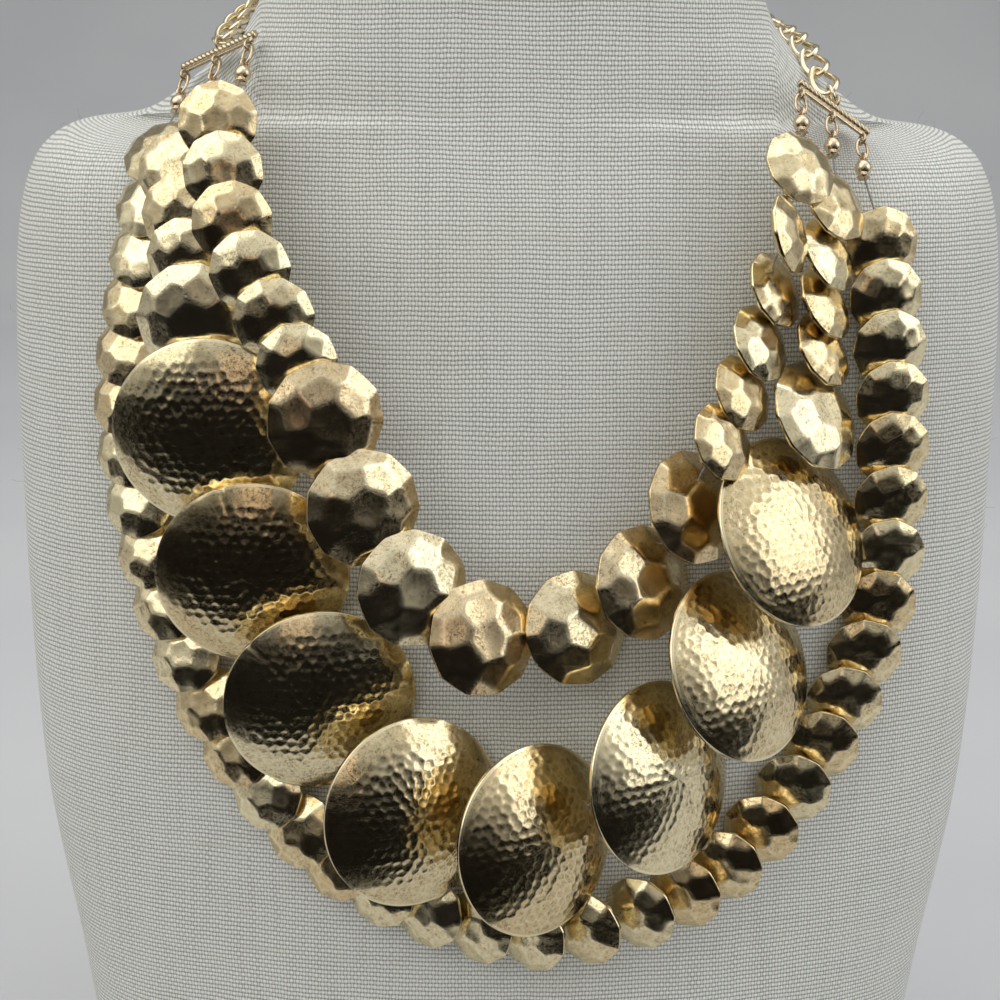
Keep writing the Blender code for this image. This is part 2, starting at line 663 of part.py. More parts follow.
def build():
    """Build the bust, the chain and its bars, and lay the three strands."""
    clear_scene()
    parts = bpy.data.collections.new("bib_necklace")
    bpy.context.scene.collection.children.link(parts)
    mats = {
        "linen": material("linen", (0.72, 0.72, 0.70), 0.9, 0.0),
        "small": material("small_disc_plating", (0.74, 0.64, 0.44), 0.3, 1.0),
        "medium": material("medium_disc_plating", (0.76, 0.66, 0.47), 0.3, 1.0),
        "large": material("large_disc_plating", (0.70, 0.62, 0.45), 0.28, 1.0),
        "bar": material("bar_plating", (0.66, 0.47, 0.28), 0.35, 1.0),
        "fine": material("drop_plating", (0.72, 0.56, 0.42), 0.3, 1.0),
        "chain": material("chain_plating", (0.86, 0.66, 0.36), 0.25, 1.0),
    }
    laid = Laid()
    bust = make_bust(mats["linen"], parts)
    laid.add(bust.data)
    bust_tree = laid.solids[0][2]

    ends = {}
    for side, mirror, spec, route in (("right", 1, BAR_RIGHT, CHAIN_ROUTE_RIGHT),
                                      ("left", -1, BAR_LEFT, CHAIN_ROUTE_LEFT)):
        chain_next = neck_point(*route[0], mirror, bust_tree, chain_lift())
        ends[side] = make_bar(side, spec, chain_next, mats, parts, bust_tree, laid)

    lift = 0.4 * CLASP_HALF_WIDTH + CLASP_WIRE + 3 * CLEARANCE
    clasp_centre = neck_point(90, CLASP_HEIGHT, 1, bust_tree, lift)
    clasp = ring_mesh(CLASP_HALF_LENGTH, CLASP_HALF_WIDTH, CLASP_WIRE, CHAIN_TWIST, around=14)
    clasp_frame = frame_from((1.0, 0.0, 0.0), (0.0, 1.0, 0.0))
    clasp = moved(clasp, Matrix.Translation(clasp_centre) @ clasp_frame)
    add_object("clasp", clasp, mats["chain"], parts)
    into = CLASP_HALF_LENGTH - CLASP_WIRE - CHAIN_WIRE - CLEARANCE
    step = Vector((into, 0.0, 0.0))
    make_chain("right", 1, ends["right"], CHAIN_ROUTE_RIGHT, clasp_centre + step,
               mats["chain"], parts, bust_tree, laid)
    make_chain("left", -1, ends["left"], CHAIN_ROUTE_LEFT, clasp_centre - step,
               mats["chain"], parts, bust_tree, laid)

    shapes = {
        "small": disc(SMALL_DIAMETER, SMALL_THICKNESS, SMALL_SIDES),
        "medium": disc(MEDIUM_DIAMETER, MEDIUM_THICKNESS, MEDIUM_SIDES),
        "large": disc(LARGE_DIAMETER, LARGE_THICKNESS, LARGE_SIDES, LARGE_RIM),
    }
    pitch = {"small": SMALL_PITCH, "medium": MEDIUM_PITCH, "large": LARGE_PITCH}

    outer_kinds = ["small"] * OUTER_COUNT
    inner_kinds = ["small"] * 6 + ["medium"] * 7 + ["small"] * 6
    middle_kinds = ["small"] * 3 + ["medium"] + ["large"] * 8 + ["medium"] + ["small"] * 4
    outer = strand_places(OUTER_ROUTE, [pitch[kind] for kind in outer_kinds])
    inner = strand_places(INNER_ROUTE, [pitch[kind] for kind in inner_kinds])
    middle = strand_places(MIDDLE_ROUTE, [pitch[kind] for kind in middle_kinds])

    def string(name, places):
        """Lay a run of small beads and fuse it."""
        beads = lay_beads(places, ["small"] * len(places), shapes, laid)
        string_object(name, beads, mats["small"], parts, laid)

    def row(stem, kind, places, labels):
        """Lay a run of beads that stay pieces of their own."""
        beads = lay_beads(places, [kind] * len(places), shapes, laid)
        for label, (mesh, _) in zip(labels, beads):
            add_object(stem + str(label), mesh, mats[kind], parts)

    string("outer_string", outer)
    string("middle_left_string", middle[0:3])
    row("middle_medium_disc_", "medium", middle[3:4], ["left"])
    row("large_disc_", "large", middle[4:8], range(1, 5))
    string("inner_left_string", inner[0:6])
    row("inner_medium_disc_", "medium", inner[6:13], range(1, 8))
    row("large_disc_", "large", middle[8:12], range(5, 9))
    row("middle_medium_disc_", "medium", middle[12:13], ["right"])
    string("middle_right_string", middle[13:17])
    string("inner_right_string", inner[13:19])


build()
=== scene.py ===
"""Finished look of a bib necklace of puffed metal discs, laid over a linen covered neck bust.

Metres, +Z up. The bust stands on z = 0 with its front towards -Y, and the wearer's right is -X.
Each class builds one sub-assembly: it holds the sizes, makes the surfaces as arrays and dresses
them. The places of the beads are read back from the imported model, so that every bead lies where
it was laid.
"""

import logging
import math
from dataclasses import dataclass, field, replace
from enum import Enum

import bpy
import numpy as np
from mathutils import Matrix, Vector
from mathutils.bvhtree import BVHTree


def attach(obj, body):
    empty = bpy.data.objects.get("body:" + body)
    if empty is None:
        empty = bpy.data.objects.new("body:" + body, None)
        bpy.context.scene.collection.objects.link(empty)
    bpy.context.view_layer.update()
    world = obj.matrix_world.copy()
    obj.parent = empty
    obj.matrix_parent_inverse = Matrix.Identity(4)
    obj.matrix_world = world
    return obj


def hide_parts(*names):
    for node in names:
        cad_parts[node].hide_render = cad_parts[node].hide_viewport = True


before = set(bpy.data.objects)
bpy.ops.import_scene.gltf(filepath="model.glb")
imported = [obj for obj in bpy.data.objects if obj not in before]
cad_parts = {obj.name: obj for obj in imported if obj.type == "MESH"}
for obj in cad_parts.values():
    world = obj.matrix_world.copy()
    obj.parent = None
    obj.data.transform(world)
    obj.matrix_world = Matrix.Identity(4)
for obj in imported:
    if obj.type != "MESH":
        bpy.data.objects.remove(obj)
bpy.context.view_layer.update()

log = logging.getLogger("necklace")

Colour = tuple[float, float, float]


# Shader tools


class Wire:
    """An output socket that works in plain arithmetic with numbers and with other sockets."""

    def __init__(self, graph: "Graph", socket: bpy.types.NodeSocket) -> None:
        """Wrap a socket of a graph."""
        self.graph = graph
        self.socket = socket

    def __add__(self, other: "Wire | float") -> "Wire":
        """Sum of the two."""
        return self.graph.maths("ADD", self, other)

    def __radd__(self, other: float) -> "Wire":
        """Sum of the two."""
        return self.graph.maths("ADD", other, self)

    def __sub__(self, other: "Wire | float") -> "Wire":
        """This less the other."""
        return self.graph.maths("SUBTRACT", self, other)

    def __rsub__(self, other: float) -> "Wire":
        """The other less this."""
        return self.graph.maths("SUBTRACT", other, self)

    def __mul__(self, other: "Wire | float") -> "Wire":
        """Product of the two."""
        return self.graph.maths("MULTIPLY", self, other)

    def __rmul__(self, other: float) -> "Wire":
        """Product of the two."""
        return self.graph.maths("MULTIPLY", other, self)

    def __truediv__(self, other: "Wire | float") -> "Wire":
        """This over the other."""
        return self.graph.maths("DIVIDE", self, other)

    def __pow__(self, other: float) -> "Wire":
        """This to a power."""
        return self.graph.maths("POWER", self, other)


class Graph:
    """Builds the nodes of one shader tree."""

    def __init__(self, tree: bpy.types.NodeTree) -> None:
        """Start on an emptied tree."""
        tree.nodes.clear()
        self.tree = tree

    def node(
        self, kind: str, settings: dict[str, object] | None = None,
        inputs: dict[str | int, object] | None = None,
    ) -> bpy.types.Node:
        """Add a node.

        Args:
            kind: type of the node.
            settings: its own settings, made before its inputs.
            inputs: what each input holds, by name or number: a value or a wire.

        Returns:
            The node.
        """
        made = self.tree.nodes.new(kind)
        for name, setting in (settings or {}).items():
            setattr(made, name, setting)
        for name, value in (inputs or {}).items():
            if isinstance(value, Wire):
                self.tree.links.new(value.socket, made.inputs[name])
            else:
                made.inputs[name].default_value = value
        return made

    def wire(self, made: bpy.types.Node, output: str | int = 0) -> Wire:
        """One output of a node, as a wire."""
        return Wire(self, made.outputs[output])

    def maths(self, operation: str, *values: "Wire | float") -> Wire:
        """Result of a sum of numbers."""
        made = self.node("ShaderNodeMath", {"operation": operation}, dict(enumerate(values)))
        return self.wire(made)

    def combine(self, x: "Wire | float", y: "Wire | float", z: "Wire | float") -> Wire:
        """A vector of three numbers."""
        return self.wire(self.node("ShaderNodeCombineXYZ", None, {0: x, 1: y, 2: z}))

    def parts(self, vector: Wire) -> tuple[Wire, Wire, Wire]:
        """The three numbers of a vector."""
        made = self.node("ShaderNodeSeparateXYZ", None, {0: vector})
        return self.wire(made, 0), self.wire(made, 1), self.wire(made, 2)

    def mix(self, share: "Wire | float", first: object, second: object) -> Wire:
        """One colour turning into another.

        Args:
            share: how much of the second colour shows, from 0 to 1.
            first: colour or wire that shows at 0.
            second: colour or wire that shows at 1.

        Returns:
            The mixed colour.
        """
        inputs = {0: share, 6: rgba(first), 7: rgba(second)}
        made = self.node("ShaderNodeMix", {"data_type": "RGBA", "clamp_factor": True}, inputs)
        return self.wire(made, 2)

    def step(self, value: Wire, low: float, high: float) -> Wire:
        """A smooth rise from 0 at the low value to 1 at the high one.

        Args:
            value: what rises.
            low: where the rise starts.
            high: where it ends.

        Returns:
            The share, from 0 to 1.
        """
        inputs = {"Value": value, "From Min": low, "From Max": high}
        made = self.node("ShaderNodeMapRange", {"interpolation_type": "SMOOTHSTEP"}, inputs)
        return self.wire(made)

    def noise(self, place: Wire, scale: float, detail: float, roughness: float) -> Wire:
        """Cloudy noise from 0 to 1: clouds to the metre, finer layers, and how strong those are."""
        inputs = {"Vector": place, "Scale": scale, "Detail": detail, "Roughness": roughness}
        return self.wire(self.node("ShaderNodeTexNoise", None, inputs))

    def attribute(self, name: str) -> Wire:
        """A value that the piece carries at its points."""
        return self.wire(self.node("ShaderNodeAttribute", {"attribute_name": name}), "Fac")

    def place(self) -> Wire:
        """Place in the piece's own coordinates."""
        return self.wire(self.node("ShaderNodeTexCoord"), "Object")

    def bump(self, height: Wire, distance: float) -> Wire:
        """Normal of a surface raised by a height of 0 to 1 times a distance."""
        inputs = {"Height": height, "Distance": distance}
        return self.wire(self.node("ShaderNodeBump", None, inputs))

    def principled(self, inputs: dict[str | int, object]) -> None:
        """Close the tree with a Principled surface that has these inputs."""
        shader = self.wire(self.node("ShaderNodeBsdfPrincipled", None, inputs))
        self.node("ShaderNodeOutputMaterial", None, {"Surface": shader})


def rgba(colour: object) -> object:
    """A colour with its alpha, and anything else as it is."""
    return (*colour, 1.0) if isinstance(colour, tuple) and len(colour) == 3 else colour


def new_material(name: str) -> tuple[bpy.types.Material, Graph]:
    """A material with an empty tree, and the graph that fills it.

    Args:
        name: name of the material.

    Returns:
        The material and its graph.
    """
    material = bpy.data.materials.new(name)
    material.use_nodes = True
    return material, Graph(material.node_tree)


# Finishes


@dataclass(frozen=True)
class Plating:
    """Worn plated metal: speckled tarnish in the hollows, rubbed bright on the ridges.

    The colour turns from a pale to a deep metal with slow clouds, darkens in fine specks that
    keep to the hollows, and pales along the ridges. The roughness follows the same clouds and
    specks, and each speck is a small pit in the fine grain of the surface.
    """

    name: str
    pale: Colour
    deep: Colour
    tarnish: Colour
    bright: Colour
    roughness: float = 0.10
    speckle: float = 0.75
    grain: float = 0.000010
    cloud: float = 420.0
    mottling: float = 1500.0
    graining: float = 7800.0
    worn: float = 0.6

    def material(self) -> bpy.types.Material:
        """Make the material.

        Returns:
            The material.
        """
        material, graph = new_material(self.name)
        place = graph.place()
        clouds = graph.noise(place, self.cloud, 2.0, 0.6)
        mottle = graph.noise(place, self.mottling, 3.0, 0.74)
        grains = graph.noise(place, self.graining, 1.0, 0.7)
        ridge = graph.attribute("ridge")
        tint = graph.attribute("tint")
        specks = graph.step(mottle * 0.52 + grains * 0.48, 0.50, 0.59)
        patches = graph.step(clouds, 0.42, 0.66)
        dark = specks * (1.0 - ridge) * (0.40 + 0.60 * patches) * self.speckle
        warm = graph.step(clouds * 0.6 + tint * 0.4, 0.30, 0.70)
        base = graph.mix(warm, self.pale, self.deep)
        base = graph.mix(dark, base, self.tarnish)
        base = graph.mix(ridge * self.worn, base, self.bright)
        rough = self.roughness + 0.12 * dark + 0.03 * patches - 0.01 * ridge + 0.03 * mottle
        normal = graph.bump(grains * 0.6 - specks * 0.8, self.grain)
        graph.principled({"Base Color": base, "Metallic": 1.0, "Roughness": rough, "Normal": normal})
        return material


@dataclass(frozen=True)
class LinenCloth:
    """Plain woven linen with uneven threads.

    The height of the weave is the higher of two thread profiles: half circles across the upright
    and the level threads, each of which waves over one crossing and under the next. The gaps and
    the sides of the threads, where the weave is low, are darkened with painted shade, and single
    threads run thicker, thinner and browner.
    """

    name: str = "linen_cloth"
    across: float = 0.00071
    up: float = 0.00098
    depth: float = 0.00026
    upright: float = 0.62
    level: float = 0.76
    wave: float = 0.24
    slub_scale: float = 42.0
    fuzz_scale: float = 5200.0
    pale: Colour = (0.83, 0.84, 0.80)
    brown: Colour = (0.60, 0.56, 0.47)
    # gap: painted shade for the weave's low places, between and beside the threads
    gap: Colour = (0.25, 0.245, 0.21)

    def material(self) -> bpy.types.Material:
        """Make the material.

        Returns:
            The material.
        """
        material, graph = new_material(self.name)
        cloth = graph.wire(graph.node("ShaderNodeUVMap", {"uv_map": "cloth"}))
        drift = graph.noise(cloth, 55.0, 1.0, 0.5) - 0.5
        sway = graph.noise(cloth, 420.0, 1.0, 0.5) - 0.5
        x, y, _ = graph.parts(cloth)
        u = x / self.across + drift * 1.6 + sway * 0.34
        v = y / self.up + drift * 1.1 - sway * 0.30
        column = graph.maths("FLOOR", u)
        row = graph.maths("FLOOR", v)
        over = graph.maths("PINGPONG", column + row, 1.0)
        turn = over * 2.0 - 1.0
        from_u = (u - column) * 2.0 - 1.0
        from_v = (v - row) * 2.0 - 1.0
        square_u = graph.maths("MAXIMUM", 1.0 - from_u * from_u, 0.0)
        square_v = graph.maths("MAXIMUM", 1.0 - from_v * from_v, 0.0)
        upright = square_u**0.5 * (self.upright + self.wave * turn * square_v)
        level = square_v**0.5 * (self.level - self.wave * turn * square_u)
        weave = graph.maths("MAXIMUM", upright, level)
        thread_u = self.slub(graph, column, y * self.slub_scale, 3.7)
        thread_v = self.slub(graph, row, x * self.slub_scale, 9.1)
        slub = thread_v + over * (thread_u - thread_v)
        fuzz = graph.noise(cloth, self.fuzz_scale, 1.0, 0.7)
        # body: share of thread colour, which falls to painted shade where the weave is low
        body = graph.step(weave + (slub - 0.5) * 0.22 + (fuzz - 0.5) * 0.26, 0.36, 0.94)
        stain = graph.step(graph.noise(cloth, 14.0, 1.0, 0.55), 0.40, 0.72)
        brown = graph.step(slub * 0.7 + fuzz * 0.3, 0.52, 0.82) * 0.62 + stain * 0.16
        thread = graph.mix(brown, self.pale, self.brown)
        # painted shade in the gaps and down the sides of the threads
        colour = graph.mix(body, self.gap, thread)
        normal = graph.bump(weave * 0.8 + fuzz * 0.2 + slub * 0.22, self.depth)
        graph.principled(
            {
                "Base Color": colour, "Roughness": 0.92 - 0.12 * body, "Specular IOR Level": 0.25,
                "Sheen Weight": 0.15, "Sheen Roughness": 0.6, "Normal": normal,
            }
        )
        return material

    def slub(self, graph: Graph, thread: Wire, along: Wire, shift: float) -> Wire:
        """Thickness of a thread, from 0 to 1, along it. The shift sets one way of the cloth apart."""
        place = graph.combine(thread * 7.31 + shift, along, shift)
        return graph.noise(place, 1.0, 1.0, 0.6)


@dataclass(frozen=True)
class ThreadFinish:
    """Waxed beading thread, twisted: slanting stripes of light and shade along it."""

    name: str = "beading_thread"
    light: Colour = (0.36, 0.33, 0.29)
    shade: Colour = (0.17, 0.15, 0.13)
    pitch: float = 0.0009
    depth: float = 0.00008
    fuzz_scale: float = 6000.0

    def material(self) -> bpy.types.Material:
        """Make the material.

        Returns:
            The material.
        """
        material, graph = new_material(self.name)
        place = graph.place()
        x, y, z = graph.parts(place)
        stripe = graph.maths("PINGPONG", (x + y + z) / self.pitch, 0.5) * 2.0
        lay = stripe * 0.7 + graph.noise(place, self.fuzz_scale, 2.0, 0.6) * 0.3
        colour = graph.mix(lay, self.shade, self.light)
        normal = graph.bump(lay, self.depth)
        graph.principled({"Base Color": colour, "Roughness": 0.6, "Normal": normal})
        return material


@dataclass(frozen=True)
class FloorFinish:
    """Matt floor or card with faint clouds."""

    name: str = "studio_floor"
    light: Colour = (0.60, 0.60, 0.605)
    shade: Colour = (0.55, 0.55, 0.56)

    def material(self) -> bpy.types.Material:
        """Make the material.

        Returns:
            The material.
        """
        material, graph = new_material(self.name)
        clouds = graph.noise(graph.place(), 3.0, 3.0, 0.5)
        colour = graph.mix(graph.step(clouds, 0.3, 0.7), self.light, self.shade)
        graph.principled({"Base Color": colour, "Roughness": 0.9, "Specular IOR Level": 0.0})
        return material


# Surfaces


class Ends(Enum):
    """How the first and last rows of a surface are closed."""

    POLES = "each end row meets in a point"
    JOINED = "the last row runs on into the first"


@dataclass
class Shape:
    """Points and faces of a piece, with the values that its points carry."""

    points: np.ndarray
    quads: np.ndarray
    triangles: np.ndarray
    values: dict[str, np.ndarray] = field(default_factory=dict)

    def outward(self) -> "Shape":
        """Turn the faces outwards, where the volume they close comes out negative.

        Returns:
            The shape itself.
        """
        sides = np.vstack([self.quads[:, :3], self.quads[:, [0, 2, 3]], self.triangles])
        a, b, c = (self.points[sides[:, k]] for k in range(3))
        if np.einsum("ij,ij->", a - self.points.mean(0), np.cross(b - a, c - a)) < 0:
            self.quads = self.quads[:, ::-1]
            self.triangles = self.triangles[:, ::-1]
        return self


def surface(
    points: np.ndarray, ends: Ends = Ends.POLES, values: dict[str, np.ndarray] | None = None
) -> Shape:
    """Closed surfaces from grids of points.

    Args:
        points: copies x rows x columns x 3. The columns run round, and the rows from end to end.
        ends: how the end rows are closed.
        values: what the points carry, each copies x rows x columns.

    Returns:
        The surfaces as one shape.
    """
    copies, rows, columns, _ = points.shape
    index = np.arange(rows * columns).reshape(rows, columns)
    after = np.roll(index, -1, axis=1)
    if ends is Ends.JOINED:
        low = (index, after)
        high = (np.roll(index, -1, axis=0), np.roll(after, -1, axis=0))
    else:
        low = (index[:-1], after[:-1])
        high = (index[1:], after[1:])
    quads = np.stack([low[0], low[1], high[1], high[0]], axis=-1).reshape(-1, 4)
    flat = points.reshape(copies, -1, 3)
    carried = {name: value.reshape(copies, -1) for name, value in (values or {}).items()}
    triangles = np.zeros((0, 3), int)
    if ends is Ends.POLES:
        start, end = rows * columns, rows * columns + 1
        first = np.stack([np.full(columns, start), after[0], index[0]], axis=-1)
        last = np.stack([np.full(columns, end), index[-1], after[-1]], axis=-1)
        triangles = np.vstack([first, last])
        poles = np.stack([points[:, 0].mean(1), points[:, -1].mean(1)], axis=1)
        flat = np.concatenate([flat, poles], axis=1)
        for name, value in (values or {}).items():
            both = np.stack([value[:, 0].mean(1), value[:, -1].mean(1)], axis=1)
            carried[name] = np.concatenate([carried[name], both], axis=1)
    offsets = (np.arange(copies) * flat.shape[1])[:, None, None]
    return Shape(
        flat.reshape(-1, 3), (quads[None] + offsets).reshape(-1, 4),
        (triangles[None] + offsets).reshape(-1, 3),
        {name: value.reshape(-1) for name, value in carried.items()},
    ).outward()


def joined(shapes: list[Shape]) -> Shape:
    """Several shapes as one: what only some of them carry is zero on the others.

    Args:
        shapes: the shapes, in order.

    Returns:
        The one shape.
    """
    starts = np.cumsum([0] + [len(shape.points) for shape in shapes[:-1]])
    names = sorted({name for shape in shapes for name in shape.values})
    blank = [np.zeros(len(shape.points)) for shape in shapes]
    return Shape(
        np.vstack([shape.points for shape in shapes]),
        np.vstack([shape.quads + start for shape, start in zip(shapes, starts)]),
        np.vstack([shape.triangles + start for shape, start in zip(shapes, starts)]),
        {
            name: np.concatenate([shape.values.get(name, empty) for shape, empty in zip(shapes, blank)])
            for name in names
        },
    )


def add_piece(
    name: str, shape: Shape, material: bpy.types.Material, nodes: tuple[str, ...] = (),
) -> bpy.types.Object:
    """Make a piece of the finished model.

    Args:
        name: name of the piece.
        shape: its points and faces.
        material: its finish.
        nodes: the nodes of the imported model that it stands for.

    Returns:
        The piece.
    """
    mesh = bpy.data.meshes.new(name)
    mesh.from_pydata(shape.points.tolist(), [], shape.quads.tolist() + shape.triangles.tolist())
    for label, value in shape.values.items():
        carried = mesh.attributes.new(label, "FLOAT", "POINT")
        carried.data.foreach_set("value", value.astype(np.float32))
    mesh.materials.append(material)
    mesh.shade_smooth()
    piece = bpy.data.objects.new(name, mesh)
    bpy.context.scene.collection.objects.link(piece)
    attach(piece, "root")
    if nodes:
        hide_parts(*nodes)
    log.info("%s: %d faces", name, len(mesh.polygons))
    return piece


def unit(vectors: np.ndarray) -> np.ndarray:
    """Vectors brought to length 1."""
    return vectors / np.linalg.norm(vectors, axis=-1, keepdims=True)


def axes(forward: np.ndarray, facing: np.ndarray) -> np.ndarray:
    """Axes whose X runs forward and whose Z is as near to the facing as it can be.

    Args:
        forward: directions, any shape that ends in 3.
        facing: directions of the same shape.

    Returns:
        Rows X, Y and Z for each direction.
    """
    x_axis = unit(forward)
    z_axis = unit(facing - x_axis * np.sum(x_axis * facing, axis=-1, keepdims=True))
    return np.stack([x_axis, np.cross(z_axis, x_axis), z_axis], axis=-2)


def smooth_curve(knots: np.ndarray, values: np.ndarray, at: np.ndarray) -> np.ndarray:
    """Values on a smooth curve through rows: cubic pieces with the rows' own slopes.

    Args:
        knots: where the rows stand, rising.
        values: the rows, with any further shape.
        at: where to read the curve.

    Returns:
        One row for each place.
    """
    slopes = np.gradient(values, knots, axis=0)
    at = np.clip(np.atleast_1d(at), knots[0], knots[-1])
    low = np.clip(np.searchsorted(knots, at) - 1, 0, len(knots) - 2)
    shape = (-1,) + (1,) * (values.ndim - 1)
    span = (knots[low + 1] - knots[low]).reshape(shape)
    s = ((at - knots[low]).reshape(shape)) / span
    return (
        (2 * s**3 - 3 * s**2 + 1) * values[low]
        + (s**3 - 2 * s**2 + s) * span * slopes[low]
        + (3 * s**2 - 2 * s**3) * values[low + 1]
        + (s**3 - s**2) * span * slopes[low + 1]
    )


def plateau(value: np.ndarray, corners: tuple[float, float, float, float]) -> np.ndarray:
    """Rises from 0 to 1 between the first two corners and falls back between the last two."""
    a, b, c, d = corners
    return np.clip((value - a) / (b - a), 0, 1) * np.clip((d - value) / (d - c), 0, 1)


def path_lengths(points: np.ndarray) -> np.ndarray:
    """Length of a path up to each of its points."""
    steps = np.linalg.norm(np.diff(points, axis=0), axis=-1)
    return np.concatenate([[0.0], np.cumsum(steps)])


def tube(path: np.ndarray, radius: np.ndarray | float, sides: int = 8) -> Shape:
    """A round tube along a path: circles set square to it, closed at both ends.

    Args:
        path: points along the middle of the tube.
        radius: one radius, or one for each point.
        sides: points round each circle.

    Returns:
        The tube.
    """
    forward = unit(np.gradient(path, axis=0))
    aside = unit(np.cross(forward, np.broadcast_to([0.12, -1.0, 0.21], forward.shape)))
    upward = np.cross(forward, aside)
    turn = np.linspace(0, 2 * np.pi, sides, endpoint=False)
    reach = np.broadcast_to(radius, len(path))[:, None, None]
    ring = np.cos(turn)[None, :, None] * aside[:, None] + np.sin(turn)[None, :, None] * upward[:, None]
    return surface((path[:, None] + reach * ring)[None])


def swept(
    middle: np.ndarray, along: tuple[np.ndarray, np.ndarray], first: tuple[np.ndarray, np.ndarray],
    second: tuple[np.ndarray, np.ndarray],
) -> np.ndarray:
    """Points of a section carried along a line: the middle plus three lengths along three ways.

    Args:
        middle: where the line starts or has its middle.
        along: lengths along the line, and its direction.
        first: lengths across the section, and their direction.
        second: lengths square to both, and their direction.

    Returns:
        Rows x columns x 3 points.
    """
    ways = np.broadcast_arrays(along[0], first[0], second[0])
    directions = (along[1], first[1], second[1])
    return middle + sum(way[..., None] * way_to for way, way_to in zip(ways, directions))


def links(
    centres: np.ndarray, frames: np.ndarray, half_length: np.ndarray | float, half_width: float,
    wire: float, twist: float = 0.0, around: int = 28, sides: int = 10,
) -> Shape:
    """Oval wire links: an oval middle line with a round wire set square to it, twisted along X.

    Args:
        centres: one row for each link.
        frames: their axes, one set for each link.
        half_length: half the length of the middle line, along X.
        half_width: half its width, along Y.
        wire: radius of the wire.
        twist: degrees by which each end is turned about X, against the other end.
        around: points round the oval.
        sides: points round the wire.

    Returns:
        All the links as one shape.
    """
    a = np.linspace(0, 2 * np.pi, around, endpoint=False)[:, None]
    b = np.linspace(0, 2 * np.pi, sides, endpoint=False)[None]
    out = unit(np.stack([np.cos(a) / half_length, np.sin(a) / half_width], axis=-1))
    x = half_length * np.cos(a) + out[..., 0] * wire * np.cos(b)
    y = half_width * np.sin(a) + out[..., 1] * wire * np.cos(b)
    z = np.broadcast_to(wire * np.sin(b), x.shape)
    roll = math.radians(twist) * np.clip(x / half_length, -1, 1)
    local = np.stack([x, y * np.cos(roll) - z * np.sin(roll), y * np.sin(roll) + z * np.cos(roll)], -1)
    points = centres[:, None, None] + np.einsum("abk,nkd->nabd", local, frames)
    worn = np.broadcast_to((0.5 + 0.5 * np.cos(b)) ** 3, x.shape)
    rng = np.random.default_rng(len(centres))
    tint = np.broadcast_to(rng.random(len(centres))[:, None, None], points.shape[:3])
    ridge = np.broadcast_to(worn[None] * 0.6, points.shape[:3])
    return surface(points, Ends.JOINED, {"ridge": ridge, "tint": tint})


# Bust


